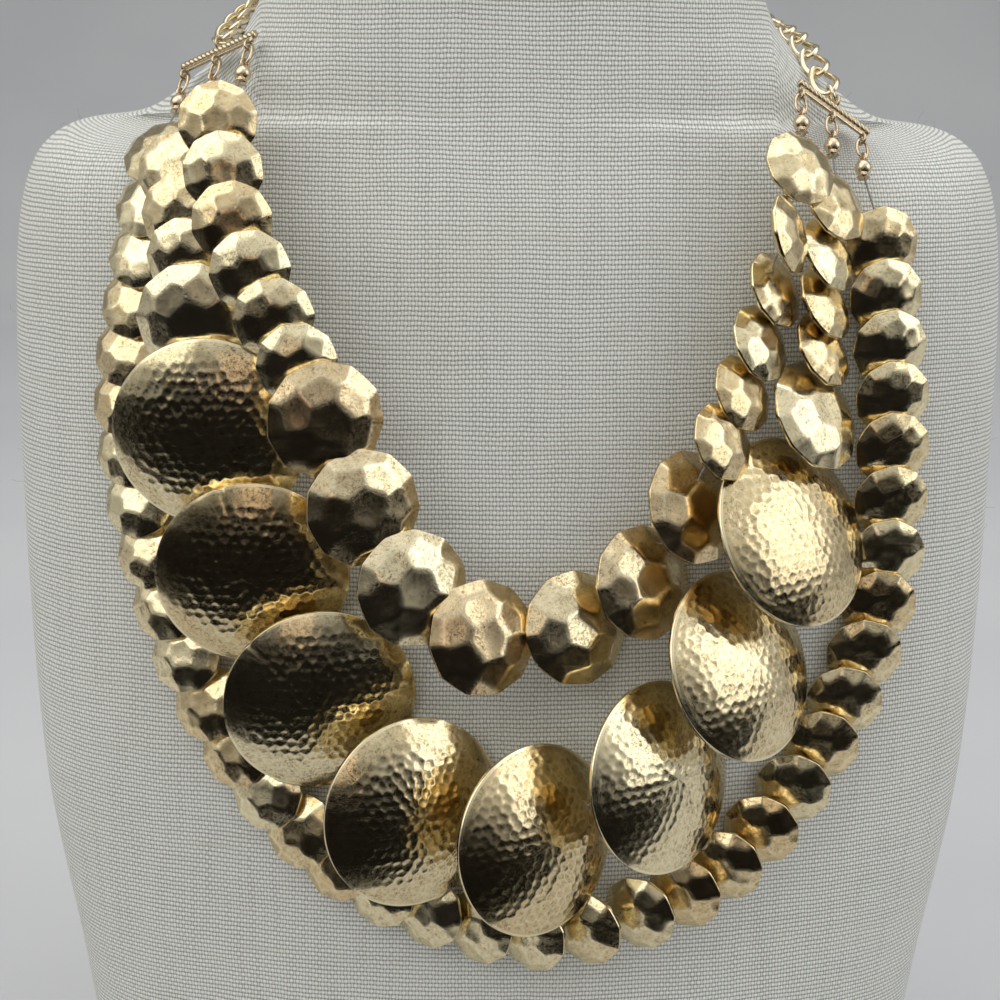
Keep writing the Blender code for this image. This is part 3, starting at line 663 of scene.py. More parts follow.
@dataclass
class Bust:
    """Neck bust: a chest with square shoulders that blend into a neck, covered with linen.

    The surface is drawn ring by ring, each ring a rounded section whose depth is a smooth union
    of chest and neck, and runs on a smooth curve from one ring to the next.
    """

    height: float = 0.297
    shoulder_height: float = 0.2398
    width: float = 0.2212
    chest_depth: float = 0.053
    back_depth: float = 0.042
    neck_width: float = 0.112
    neck_front: float = 0.0345
    neck_back: float = 0.040
    slab_roundness: float = 3.0
    neck_roundness: float = 2.4
    blend: float = 6.0
    sunk: float = 0.00045
    ease: float = 0.0075
    round_rows: float = 1.9
    eased_heights: tuple[float, float, float, float] = (0.17, 0.20, 0.27, 0.29)
    eased_width: float = 0.084
    eased_edge: float = 0.030
    rounded_heights: tuple[float, float, float, float] = (0.222, 0.236, 0.256, 0.270)
    columns: int = 224
    rows: int = 150
    base_shares: tuple[float, ...] = (0.02, 0.3, 0.6, 0.85, 0.96)
    top_shares: tuple[float, ...] = (0.97, 0.88, 0.6, 0.3, 0.02)
    slope_from: tuple[float, float] = (0.055, 0.232)
    slope_end: float = 0.0967
    slope_gain: float = 0.8
    fibre_count: int = 240
    fibre_radius: float = 0.000022
    fibre_lengths: tuple[float, float] = (0.0008, 0.0024)
    finish: LinenCloth = field(default_factory=LinenCloth)
    slab_sections: np.ndarray = field(
        default_factory=lambda: np.array(
            [
                (0.000, 0.823, 0.98, 1.00),
                (0.100, 0.866, 1.00, 1.00),
                (0.217, 0.907, 1.00, 0.98),
                (0.367, 0.964, 0.98, 0.95),
                (0.534, 0.989, 0.934, 0.88),
                (0.713, 0.998, 0.858, 0.79),
                (0.801, 1.000, 0.821, 0.74),
                (0.867, 0.995, 0.783, 0.70),
                (0.917, 0.984, 0.726, 0.643),
                (0.959, 0.960, 0.623, 0.548),
                (0.984, 0.927, 0.481, 0.417),
                (0.9967, 0.877, 0.302, 0.262),
                (1.000, 0.823, 0.132, 0.119),
            ]
        )
    )
    neck_sections: np.ndarray = field(
        default_factory=lambda: np.array(
            [
                (-2.09, 1.25, 1.443, 0.90),
                (-1.20, 1.25, 1.328, 0.90),
                (-0.486, 1.304, 1.194, 0.95),
                (-0.136, 1.393, 1.130, 0.975),
                (0.000, 1.429, 1.101, 1.00),
                (0.096, 1.332, 1.084, 1.00),
                (0.220, 1.175, 1.061, 1.00),
                (0.320, 1.063, 1.043, 1.00),
                (0.434, 1.002, 1.023, 1.00),
                (0.700, 0.973, 1.000, 1.00),
                (0.950, 0.990, 1.000, 1.00),
                (1.000, 0.920, 0.930, 0.93),
            ]
        )
    )
    slab_rings: tuple[float, ...] = (
        0.0, 0.05, 0.1, 0.16, 0.217, 0.29, 0.367, 0.45, 0.534, 0.6, 0.66, 0.71, 0.75, 0.79,
        0.83, 0.86, 0.89, 0.91, 0.93, 0.945, 0.96, 0.972, 0.984, 0.9967,
    )
    neck_rings: tuple[float, ...] = (
        0.05, 0.085, 0.12, 0.155, 0.19, 0.225, 0.26, 0.30, 0.34, 0.40, 0.45, 0.55, 0.70, 0.85,
        0.95, 0.985, 1.0,
    )

    def section(self, z: np.ndarray, column: int, neck: bool) -> np.ndarray:
        """One measure of the chest's or the neck's section at some heights, in metres.

        Args:
            z: the heights.
            column: 1 for half the width, 2 for the front, 3 for the back.
            neck: whether the neck's section is meant.

        Returns:
            The measure at each height.
        """
        if neck:
            table = self.neck_sections
            at = (z - self.shoulder_height) / (self.height - self.shoulder_height)
            size = (self.neck_width / 2, self.neck_front, self.neck_back)[column - 1]
        else:
            table = self.slab_sections
            at = z / self.shoulder_height
            size = (self.width / 2, self.chest_depth, self.back_depth)[column - 1]
        flat = smooth_curve(table[:, 0], table[:, column], np.ravel(at))
        return flat.reshape(np.shape(z)) * size

    def depth(self, x: np.ndarray, z: np.ndarray, back: bool = False) -> np.ndarray:
        """Depth of the front or back from the middle plane: a smooth union of chest and neck.

        Args:
            x: places across.
            z: heights, of the same shape.
            back: whether the back is meant.

        Returns:
            The depth at each place.
        """
        column = 3 if back else 2
        share = np.minimum(np.abs(x) / self.section(z, 1, True), 1.0) ** self.neck_roundness
        neck = self.section(z, column, True) * (1 - share) ** (1 / self.neck_roundness)
        share = np.minimum(np.abs(x) / self.section(z, 1, False), 1.0) ** self.slab_roundness
        slab = self.section(z, column, False) * (1 - share) ** (1 / self.slab_roundness)
        slab = np.where(z <= self.shoulder_height, slab, 0.0)
        return (slab**self.blend + neck**self.blend) ** (1 / self.blend)

    def rings(self) -> np.ndarray:
        """Points of all the rings, from the base to the neck's top, starting at the back.

        Returns:
            Rings x columns x 3 points.
        """
        neck_height = self.height - self.shoulder_height
        low = np.array(self.slab_rings) * self.shoulder_height
        high = self.shoulder_height + np.array(self.neck_rings) * neck_height
        z = np.concatenate([low, high])[:, None]
        half = np.where(z < self.shoulder_height, self.section(z, 1, False), self.section(z, 1, True))
        power = 2 / np.where(z < self.shoulder_height, self.slab_roundness, self.neck_roundness)
        turn = np.pi / 2 + np.linspace(0, 2 * np.pi, self.columns, endpoint=False)[None]
        cosine, sine = np.cos(turn), np.sin(turn)
        x = half * np.sign(cosine) * np.abs(cosine) ** power
        z = np.broadcast_to(z, x.shape)
        y = np.where(sine > 0, self.depth(x, z, True), -self.depth(x, z))
        y = np.where(np.abs(sine) < 1e-6, 0.0, y)
        return np.stack([x, y, z], axis=-1)

    def grid(self) -> np.ndarray:
        """Points of the whole surface, sunk a little so that the beads lie clear of it.

        Returns:
            Rows x columns x 3 points.
        """
        rings = self.rings()
        half_width, z = np.ptp(rings[..., 0], axis=1) / 2, rings[:, 0, 2]
        knots = path_lengths(np.stack([half_width, z], axis=-1))
        grid = self.eased(smooth_curve(knots, rings, np.linspace(0, knots[-1], self.rows)))
        across = np.roll(grid, -1, axis=1) - np.roll(grid, 1, axis=1)
        sunk = grid - unit(np.cross(across, np.gradient(grid, axis=0))) * self.sunk
        sunk[..., 2] = np.clip(sunk[..., 2], 0.0, self.height)
        ends = []
        for row, shares in ((0, self.base_shares), (-1, self.top_shares)):
            middle = sunk[row].mean(axis=0)
            ends.append(middle + (sunk[row] - middle) * np.array(shares)[:, None, None])
        ends[0][..., 2] = 0.0
        ends[1][..., 2] = self.height
        sunk[0, :, 2] = 0.0
        return np.concatenate([ends[0], sunk, ends[1]])

    @staticmethod
    def spread(places: np.ndarray, reach: float, widths: np.ndarray) -> np.ndarray:
        """Weights that average rows over their neighbours, by a bell of a reach and by widths."""
        bell = np.exp(-0.5 * ((places[:, None] - places[None]) / reach) ** 2) * widths[None]
        return bell / bell.sum(axis=1, keepdims=True)

    def eased(self, grid: np.ndarray) -> np.ndarray:
        """The grid with the join of chest and neck eased.

        The front's depths are averaged over their heights, in full near the middle and less
        towards the sides. Then whole rows near the join are averaged with their neighbours.

        Args:
            grid: rows x columns x 3 points.

        Returns:
            The eased grid.
        """
        z = grid[:, 0, 2]
        inner = np.clip((self.eased_width - np.abs(grid[..., 0])) / self.eased_edge, 0, 1)
        share = plateau(z, self.eased_heights)[:, None] * inner**2 * (3 - 2 * inner)
        depth = self.spread(z, self.ease, np.gradient(z)) @ grid[..., 1]
        eased = grid.copy()
        eased[..., 1] += share * (depth - grid[..., 1])
        row = np.arange(len(z))
        weight = self.spread(row, self.round_rows, np.ones(len(z)))
        rounded = np.einsum("ij,jkc->ikc", weight, eased)
        return eased + plateau(z, self.rounded_heights)[:, None, None] * (rounded - eased)

    def cloth_map(self, grid: np.ndarray) -> np.ndarray:
        """Places on the cloth, in metres: across from the front's middle, and up from the base.

        The place across is the length round a ring. The place up is the length from the base
        up the front's middle, and over the shoulders what their slope adds to it.

        Args:
            grid: rows x columns x 3 points.

        Returns:
            Rows x columns x 2 places. A last column closes each ring with places of its own.
        """
        closed = np.concatenate([grid, grid[:, :1]], axis=1)
        around = np.linalg.norm(np.diff(closed, axis=1), axis=-1)
        across = np.concatenate([np.zeros((len(grid), 1)), np.cumsum(around, axis=1)], axis=1)
        front = self.columns // 2
        across = across - across[:, front : front + 1]
        rise = np.linalg.norm(np.diff(closed, axis=0), axis=-1)
        up = np.concatenate([np.zeros((1, closed.shape[1])), np.cumsum(rise, axis=0)])
        x, z = np.abs(closed[..., 0]), closed[..., 2]
        out, high = self.slope_from
        top = np.clip((x - out) / 0.025, 0, 1) * np.clip((z - high) / 0.008, 0, 1)
        slope = self.slope_gain * np.maximum(self.slope_end - x, 0) * top
        return np.stack([across, up[:, front : front + 1] + slope], axis=-1)

    def build(self) -> bpy.types.Object:
        """Make the bust and lay the cloth's map on it.

        Returns:
            The covered bust.
        """
        grid = self.grid()
        shape = surface(grid[None])
        piece = add_piece("bust_cover", shape, self.finish.material(), ("neck_bust",))
        places = self.cloth_map(grid)
        rows, columns = grid.shape[:2]
        row, column = shape.quads // columns, shape.quads % columns
        wraps = (column == 0) & (column.max(axis=1, keepdims=True) == columns - 1)
        corners = places[row, np.where(wraps, columns, column)].reshape(-1, 2)
        inner = np.minimum(shape.triangles, rows * columns - 1)
        ends = places[inner // columns, inner % columns].reshape(-1, 2)
        layer = piece.data.uv_layers.new(name="cloth")
        layer.data.foreach_set("uv", np.vstack([corners, ends]).astype(np.float32).ravel())
        return piece

    def fibres(self, material: bpy.types.Material) -> None:
        """Stray fibres that stand off the cloth: short thin bent tubes, set out at random.

        Args:
            material: finish of the cloth.
        """
        rng = np.random.default_rng(31)
        grid, count = self.grid(), self.fibre_count
        row = rng.integers(70, len(grid) - 12, count)
        column = rng.integers(0, self.columns, count)
        root = grid[row, column]
        across = np.roll(grid, -1, axis=1)[row, column] - root
        normal = unit(np.cross(across, grid[row + 1, column] - root))
        normal *= np.sign(np.sum(normal * (root * [1, 1, 0]), axis=-1, keepdims=True))
        lean = unit(rng.normal(size=(count, 3)))
        length = rng.uniform(*self.fibre_lengths, count)[:, None]
        middle = root + (normal * 0.55 + lean * 0.35) * length
        tip = root + (normal * 0.55 + lean) * length
        paths = np.stack([root - normal * 0.0003, root, middle, tip], axis=1)
        shape = joined([tube(path, self.fibre_radius, 4) for path in paths])
        add_piece("bust_fibres", shape, material)


# Beads


@dataclass(frozen=True)
class BeadForm:
    """Sizes of a kind of bead, and how finely it is drawn."""

    diameter: float
    thickness: float
    rim: float
    pitch: float
    columns: int
    front_rows: int
    back_rows: int
    slot: str


class BeadKind(Enum):
    """The three kinds of disc."""

    SMALL = BeadForm(0.0165, 0.0049, 0.0, 0.0109, 80, 17, 5, "small_discs")
    MEDIUM = BeadForm(0.024, 0.0067, 0.0, 0.0187, 108, 25, 7, "medium_discs")
    LARGE = BeadForm(0.040, 0.0106, 0.0008, 0.0292, 264, 76, 7, "large_discs")


def disc_points(form: BeadForm, outline: np.ndarray, count: int) -> tuple[np.ndarray, ...]:
    """Rows of a disc's grid from the middle of its front to the middle of its back.

    Args:
        form: sizes of the bead.
        outline: radius as a share of the full one, copies x columns.
        count: how many discs; not used.

    Returns:
        Places across and up in the disc's own plane, share of the radius, and side: 1 in front
        and -1 behind.
    """
    front = np.sin(np.linspace(0.03, np.pi / 2, form.front_rows)) ** 0.86
    back = np.linspace(1.0, 0.06, form.back_rows)
    share = np.concatenate([front, back])[None, :, None]
    side = np.concatenate([np.ones(form.front_rows), -np.ones(form.back_rows)])[None, :, None]
    turn = np.linspace(0, 2 * np.pi, form.columns, endpoint=False)[None, None]
    radius = form.diameter / 2 * share * outline[:, None]
    share, side = (np.broadcast_to(a, radius.shape) for a in (share, side))
    return radius * np.cos(turn), radius * np.sin(turn), share, side


@dataclass
class FacetedDisc:
    """Puffed disc with flats: one in the middle, a ring of six or so, and a ring along the rim.

    The height is the lowest of the planes that touch a dome at the middle of each flat, rounded
    where two of them meet, and each plane is a little hollow. The outline follows the flats of
    the outer ring. A ridge is where the lowest plane and the next one are close.
    """

    kind: BeadKind
    inner_flats: int = 6
    outer_flats: int = 10
    inner_reach: float = 0.60
    outer_reach: float = 0.92
    hollow: float = 0.10
    sunk: float = 0.02
    rounding: float = 0.00011
    ridge_width: float = 0.00006
    edge: float = 0.00013
    fullness: float = 2.5

    def shape(self, centres: np.ndarray, frames: np.ndarray, seed: int) -> Shape:
        """Discs at their places.

        Args:
            centres: one row for each disc.
            frames: their axes, Z the way they face.
            seed: what tells one run of discs from another.

        Returns:
            All the discs as one shape.
        """
        rng = np.random.default_rng(seed)
        form, count = self.kind.value, len(centres)
        radius, dome = form.diameter / 2, form.thickness / 2
        start = rng.uniform(0, 2 * np.pi, count)[:, None]
        columns = np.linspace(0, 2 * np.pi, form.columns, endpoint=False)[None]
        slice_angle = 2 * np.pi / self.outer_flats
        corner = (columns - start) % slice_angle - slice_angle / 2
        outline = 1.0 - 0.75 * (1.0 - math.cos(slice_angle / 2) / np.cos(corner))
        x, y, _, side = disc_points(form, outline, count)

        inner_turn = start + 0.4 + np.arange(self.inner_flats) * 2 * np.pi / self.inner_flats
        inner_turn = inner_turn + rng.normal(0, 0.10, inner_turn.shape)
        outer_turn = start + (np.arange(self.outer_flats) + 0.5) * slice_angle
        turn = np.concatenate([np.zeros((count, 1)), inner_turn, outer_turn], axis=1)
        reach = np.concatenate(
            [
                np.abs(rng.normal(0, 0.03, (count, 1))),
                self.inner_reach + rng.normal(0, 0.03, inner_turn.shape),
                self.outer_reach + rng.normal(0, 0.012, outer_turn.shape),
            ],
            axis=1,
        )
        turn, reach = (a[:, None, None] for a in (turn, reach))
        along = x[..., None] * np.cos(turn) + y[..., None] * np.sin(turn)
        away = x[..., None] ** 2 + y[..., None] ** 2 - 2 * along * reach * radius
        away = away + (reach * radius) ** 2
        fall = self.fullness * dome * reach ** (self.fullness - 1) / radius
        planes = dome * (1 - self.sunk - reach**self.fullness) - fall * (along - reach * radius)
        planes = planes + self.hollow * away / radius * dome / radius * 4
        lowest = planes.min(axis=-1, keepdims=True)
        soft = np.exp((lowest - planes) / self.rounding).sum(axis=-1)
        height = lowest[..., 0] - self.rounding * np.log(soft)
        nearest = np.partition(planes, 1, axis=-1)
        gap = nearest[..., 1] - nearest[..., 0]
        ridge = np.exp(-gap / self.ridge_width) * (side > 0)
        height = np.maximum(height, 0.0) + self.edge
        points = self.placed(x, y, height * side, centres, frames)
        tint = np.broadcast_to(rng.random(count)[:, None, None], ridge.shape)
        return surface(points, Ends.POLES, {"ridge": ridge, "tint": tint})

    @staticmethod
    def placed(
        x: np.ndarray, y: np.ndarray, z: np.ndarray, centres: np.ndarray, frames: np.ndarray
    ) -> np.ndarray:
        """Points of discs turned and moved to their places."""
        local = np.stack([x, y, z], axis=-1)
        return centres[:, None, None] + np.einsum("nabk,nkd->nabd", local, frames)


@dataclass
class HammeredDisc:
    """Large lens with a plain rim and a face beaten with small round dents.

    The height is a dome less a dent round each point of an uneven honeycomb: a dent is deepest
    in its middle and rises as the square of the distance to the ridge between it and the next.
    The dents fade out towards the rim, which may have a nick or two.
    """

    depth: float = 0.00009
    fullness: float = 2.25
    pitch: float = 0.00215
    uneven: float = 0.13
    reach: float = 0.955
    fading: float = 0.05
    rim_from: float = 0.975
    ridge_width: float = 0.00022
    nick_depth: float = 0.014
    nick_width: float = 0.035
    nicks: tuple[float, ...] = ()
    seed: int = 1

    def dents(self, x: np.ndarray, y: np.ndarray, radius: float) -> tuple[np.ndarray, ...]:
        """Distance to the nearest and to the next point of the honeycomb, and that dent's size.

        Args:
            x: places across the disc.
            y: places up it.
            radius: radius of the disc.

        Returns:
            Nearest distance, next distance and size of the dent, from 0 to 1.
        """
        rng = np.random.default_rng(self.seed)
        count = int(radius / self.pitch * 1.3) + 1
        reach = np.arange(-count, count + 1)
        row, column = np.meshgrid(reach, reach, indexing="ij")
        spots = np.stack([column + 0.5 * (row % 2), row * math.sqrt(0.75)], axis=-1).reshape(-1, 2)
        spots = (spots + rng.normal(0, self.uneven, spots.shape)) * self.pitch
        spots = spots[np.hypot(*spots.T) < radius + self.pitch]
        size = rng.uniform(0.65, 1.0, len(spots))
        places = np.stack([x.ravel(), y.ravel()], axis=-1)
        squares = (places**2).sum(1)[:, None] + (spots**2).sum(1)[None] - 2 * places @ spots.T
        order = np.argpartition(squares, 1, axis=1)[:, :2]
        two = np.sqrt(np.maximum(np.take_along_axis(squares, order, axis=1), 0.0))
        first = np.argmin(two, axis=1)[:, None]
        nearest = np.take_along_axis(two, first, axis=1)[:, 0]
        after = np.take_along_axis(two, 1 - first, axis=1)[:, 0]
        which = np.take_along_axis(order, first, axis=1)[:, 0]
        return tuple(a.reshape(x.shape) for a in (nearest, after, size[which]))

    def shape(self, centre: np.ndarray, frame_axes: np.ndarray) -> Shape:
        """One disc at its place.

        Args:
            centre: its middle.
            frame_axes: its axes, Z the way it faces.

        Returns:
            The disc.
        """
        form = BeadKind.LARGE.value
        radius, dome = form.diameter / 2, (form.thickness - form.rim) / 2
        turn = np.linspace(0, 2 * np.pi, form.columns, endpoint=False)
        outline = np.ones((1, form.columns))
        for nick in self.nicks:
            off = (turn - math.radians(nick) + np.pi) % (2 * np.pi) - np.pi
            outline = outline - self.nick_depth * np.exp(-((off / self.nick_width) ** 2))[None]
        x, y, share, side = disc_points(form, outline, 1)
        nearest, after, size = self.dents(x, y, radius)
        fade = np.clip((self.reach - share) / self.fading, 0.0, 1.0) * (side > 0)
        dent = np.maximum(0.0, 1.0 - (nearest / (0.60 * self.pitch)) ** 2)
        height = form.rim / 2 + dome * (1 - share**self.fullness)
        height = height - self.depth * size * dent * fade
        ridge = np.exp(-(after - nearest) / self.ridge_width) * fade
        ridge = np.maximum(ridge, (share > self.rim_from) * 1.0)
        points = FacetedDisc.placed(x, y, height * side, centre[None], frame_axes[None])
        tint = np.full(ridge.shape, (self.seed * 0.37) % 1.0)
        return surface(points, Ends.POLES, {"ridge": ridge, "tint": tint})


# Strands


@dataclass
class Strand:
    """One strand: its route, its beads in stringing order and the nodes that they belong to.

    A row of the route gives the number of a bead, its place across and up, and the way it faces:
    degrees to the right and upwards.
    """

    name: str
    route: tuple[tuple[float, ...], ...]
    kinds: tuple[BeadKind, ...]
    nodes: tuple[str, ...]
    laid_from: tuple[float, float, float] = (-0.018, -0.468, 0.260)
    closeness: float = 0.00003

    def rows(self) -> np.ndarray:
        """Place across and up and the facing of each bead, in metres and degrees.

        Returns:
            One row of four numbers for each bead.
        """
        pitches = np.array([kind.value.pitch for kind in self.kinds])
        steps = np.concatenate([[0.0], np.cumsum((pitches[1:] + pitches[:-1]) / 2)])
        route = np.array(self.route)
        return smooth_curve(steps[route[:, 0].astype(int)], route[:, 1:], steps)

    def frames(self) -> np.ndarray:
        """Axes of each bead: X to its side, Z the way it faces.

        Returns:
            Rows X, Y and Z for each bead.
        """
        right, up = np.radians(self.rows()[:, 2:].T)
        facing = np.stack(
            [np.sin(right) * np.cos(up), -np.cos(right) * np.cos(up), np.sin(up)], axis=-1
        )
        side = np.stack([np.cos(right), np.sin(right), 0 * right], axis=-1)
        return axes(side, facing)

    def centres(self, bust: Bust) -> np.ndarray:
        """Middle of each bead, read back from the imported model.

        A bead that is a node of its own has its middle at the mean of its points. A bead in a
        string was lowered along a known line, so each point of the node that could lie on its
        rim names one distance along that line, and the distance named most often is taken.

        Args:
            bust: the bust that the strand lies on.

        Returns:
            One row for each bead.
        """
        rows, facing = self.rows(), self.frames()[:, 2]
        base = np.stack([rows[:, 0], -bust.depth(rows[:, 0], rows[:, 1]), rows[:, 1]], axis=-1)
        towards = unit(np.array(self.laid_from) - base)
        found = []
        for index, (kind, node) in enumerate(zip(self.kinds, self.nodes)):
            points = node_points(node)
            if self.nodes.count(node) == 1:
                found.append(points.mean(axis=0))
                continue
            off = points - base[index]
            lift = off @ facing[index] / (towards[index] @ facing[index])
            across = np.linalg.norm(off - lift[:, None] * towards[index], axis=-1)
            lift = np.sort(lift[np.abs(across - kind.value.diameter / 2) < self.closeness])
            near = np.abs(lift[:, None] - lift[None]) < self.closeness
            best = lift[near[np.argmax(near.sum(axis=1))]].mean()
            found.append(base[index] + towards[index] * best)
        return np.array(found)


def node_points(name: str) -> np.ndarray:
    """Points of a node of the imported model, each place once.

    Args:
        name: name of the node.

    Returns:
        One row for each point.
    """
    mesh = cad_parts[name].data
    points = np.zeros(len(mesh.vertices) * 3)
    mesh.vertices.foreach_get("co", points)
    return np.unique(np.round(points.reshape(-1, 3), 7), axis=0)


def numbered(stem: str, first: int, last: int) -> tuple[str, ...]:
    """Names of a run of like nodes."""
    return tuple(f"{stem}{number}" for number in range(first, last + 1))


@dataclass
class Strands:
    """The three strands, their discs and the thread that runs through them."""

    bust: Bust
    small_finish: Plating
    medium_finish: Plating
    large_finish: Plating
    thread_finish: ThreadFinish
    thread_radius: float = 0.00022
    thread_dip: float = 0.13
    small: FacetedDisc = field(default_factory=lambda: FacetedDisc(BeadKind.SMALL))
    medium: FacetedDisc = field(
        default_factory=lambda: FacetedDisc(
            BeadKind.MEDIUM, inner_flats=6, outer_flats=11, rounding=0.00013
        )
    )

    def strands(self) -> tuple[Strand, Strand, Strand]:
        """The inner, middle and outer strands.

        Returns:
            The strands, in the order in which they are made.
        """
        small, medium, large = BeadKind.SMALL, BeadKind.MEDIUM, BeadKind.LARGE
        inner = Strand(
            "inner",
            (
                (0, -0.0627, 0.2397, -4, 10),
                (2, -0.0591, 0.2197, 2, 2),
                (5, -0.0455, 0.1914, 9, -4),
                (6, -0.0397, 0.1799, 16, 0),
                (8, -0.0215, 0.1455, 22, 8),
                (9, -0.0069, 0.1352, 25, 13),
                (10, 0.0126, 0.1373, 28, 15),
                (11, 0.0268, 0.1466, 33, 17),
                (12, 0.0371, 0.1622, 37, 20),
                (13, 0.0431, 0.1757, 44, 23),
                (15, 0.0508, 0.1960, 47, 25),
                (16, 0.0538, 0.2069, 51, 25),
                (17, 0.0567, 0.2183, 64, 16),
                (18, 0.0595, 0.2315, 30, 33),
            ),
            (small,) * 6 + (medium,) * 7 + (small,) * 6,
            ("inner_left_string",) * 6
            + numbered("inner_medium_disc_", 1, 7)
            + ("inner_right_string",) * 6,
        )
        middle = Strand(
            "middle",
            (
                (0, -0.0713, 0.2293, -14, 12),
                (2, -0.0688, 0.2121, -12, -3),
                (3, -0.0670, 0.1994, -8, -7),
                (4, -0.0640, 0.1760, -4, -8),
                (5, -0.0551, 0.1470, 3, -10),
                (6, -0.0409, 0.1208, 10, -8),
                (7, -0.0212, 0.0971, 26, 4),
                (8, 0.0050, 0.0911, 36, 8),
                (9, 0.0313, 0.1044, 41, 12),
                (10, 0.0482, 0.1279, 41, 22),
                (11, 0.0590, 0.1559, 38, 25),
                (12, 0.0634, 0.1805, 43, 28),
                (13, 0.0647, 0.1942, 50, 30),
                (15, 0.0653, 0.2139, 52, 29),
                (16, 0.0670, 0.2240, 42, 32),
            ),
            (small,) * 3 + (medium,) + (large,) * 8 + (medium,) + (small,) * 4,
            ("middle_left_string",) * 3
            + ("middle_medium_disc_left",)
            + numbered("large_disc_", 1, 8)
            + ("middle_medium_disc_right",)
            + ("middle_right_string",) * 4,
        )
        outer = Strand(
            "outer",
            (
                (0, 0.0771, 0.2157, 12, -4),
                (4, 0.0810, 0.1727, 8, -11),
                (7, 0.0791, 0.1388, 0, -12),
                (10, 0.0671, 0.1088, -8, -12),
                (13, 0.0463, 0.0836, -22, -9),
                (15, 0.0277, 0.0740, -30, -6),
                (17, 0.0045, 0.0696, -34, -2),
                (19, -0.0177, 0.0750, -32, 2),
                (21, -0.0371, 0.0849, -28, 8),
                (23, -0.0523, 0.0996, -26, 12),
                (25, -0.0648, 0.1181, -25, 16),
                (28, -0.0768, 0.1503, -24, 20),
                (31, -0.0815, 0.1823, -23, 22),
                (34, -0.0775, 0.2130, -23, 30),
                (36, -0.0750, 0.2331, -28, 44),
            ),
            (small,) * 37,
            ("outer_string",) * 37,
        )
        return inner, middle, outer

    def build(self, tips: dict[str, np.ndarray]) -> None:
        """Make all the discs and the threads.

        Args:
            tips: end of each bead tip, by side and strand.
        """
        small = self.small_finish.material()
        medium = self.medium_finish.material()
        large = self.large_finish.material()
        thread = self.thread_finish.material()
        nicks = {"large_disc_2": (108.0,), "large_disc_3": (137.0,)}
        for order, strand in enumerate(self.strands()):
            centres, frames = strand.centres(self.bust), strand.frames()
            for node in dict.fromkeys(strand.nodes):
                mine = np.array([name == node for name in strand.nodes])
                kind = strand.kinds[int(np.argmax(mine))]
                seed = 100 * order + int(np.argmax(mine))
                if kind is BeadKind.SMALL:
                    shape = self.small.shape(centres[mine], frames[mine], seed)
                    add_piece(node + "_discs", shape, small, (node,))
                elif kind is BeadKind.MEDIUM:
                    shape = self.medium.shape(centres[mine], frames[mine], seed)
                    add_piece(node + "_face", shape, medium, (node,))
                else:
                    number = int(node[-1])
                    disc = HammeredDisc(depth=0.00012, nicks=nicks.get(node, ()), seed=number)
                    if number <= 4:
                        disc = replace(disc, depth=0.00020, reach=0.93, fading=0.35)
                    shape = disc.shape(centres[mine][0], frames[mine][0])
                    add_piece(node + "_face", shape, large, (node,))
            sides = ("right", "left") if strand.name == "outer" else ("left", "right")
            ends = [tips[f"{side}_{strand.name}"] for side in sides]
            between = (centres[1:] + centres[:-1]) / 2
            apart = np.linalg.norm(np.diff(centres, axis=0), axis=-1, keepdims=True)
            between = between - self.thread_dip * apart * unit(frames[1:, 2] + frames[:-1, 2])
            run = np.empty((2 * len(centres) - 1, 3))
            run[0::2], run[1::2] = centres, between
            path = np.vstack([ends[0], run, ends[1]])
            knots = path_lengths(path)
            fine = smooth_curve(knots, path, np.linspace(0, knots[-1], len(path) * 5))
            shape = tube(fine, self.thread_radius)
            add_piece(strand.name + "_thread", shape, thread)


# Bars and drops


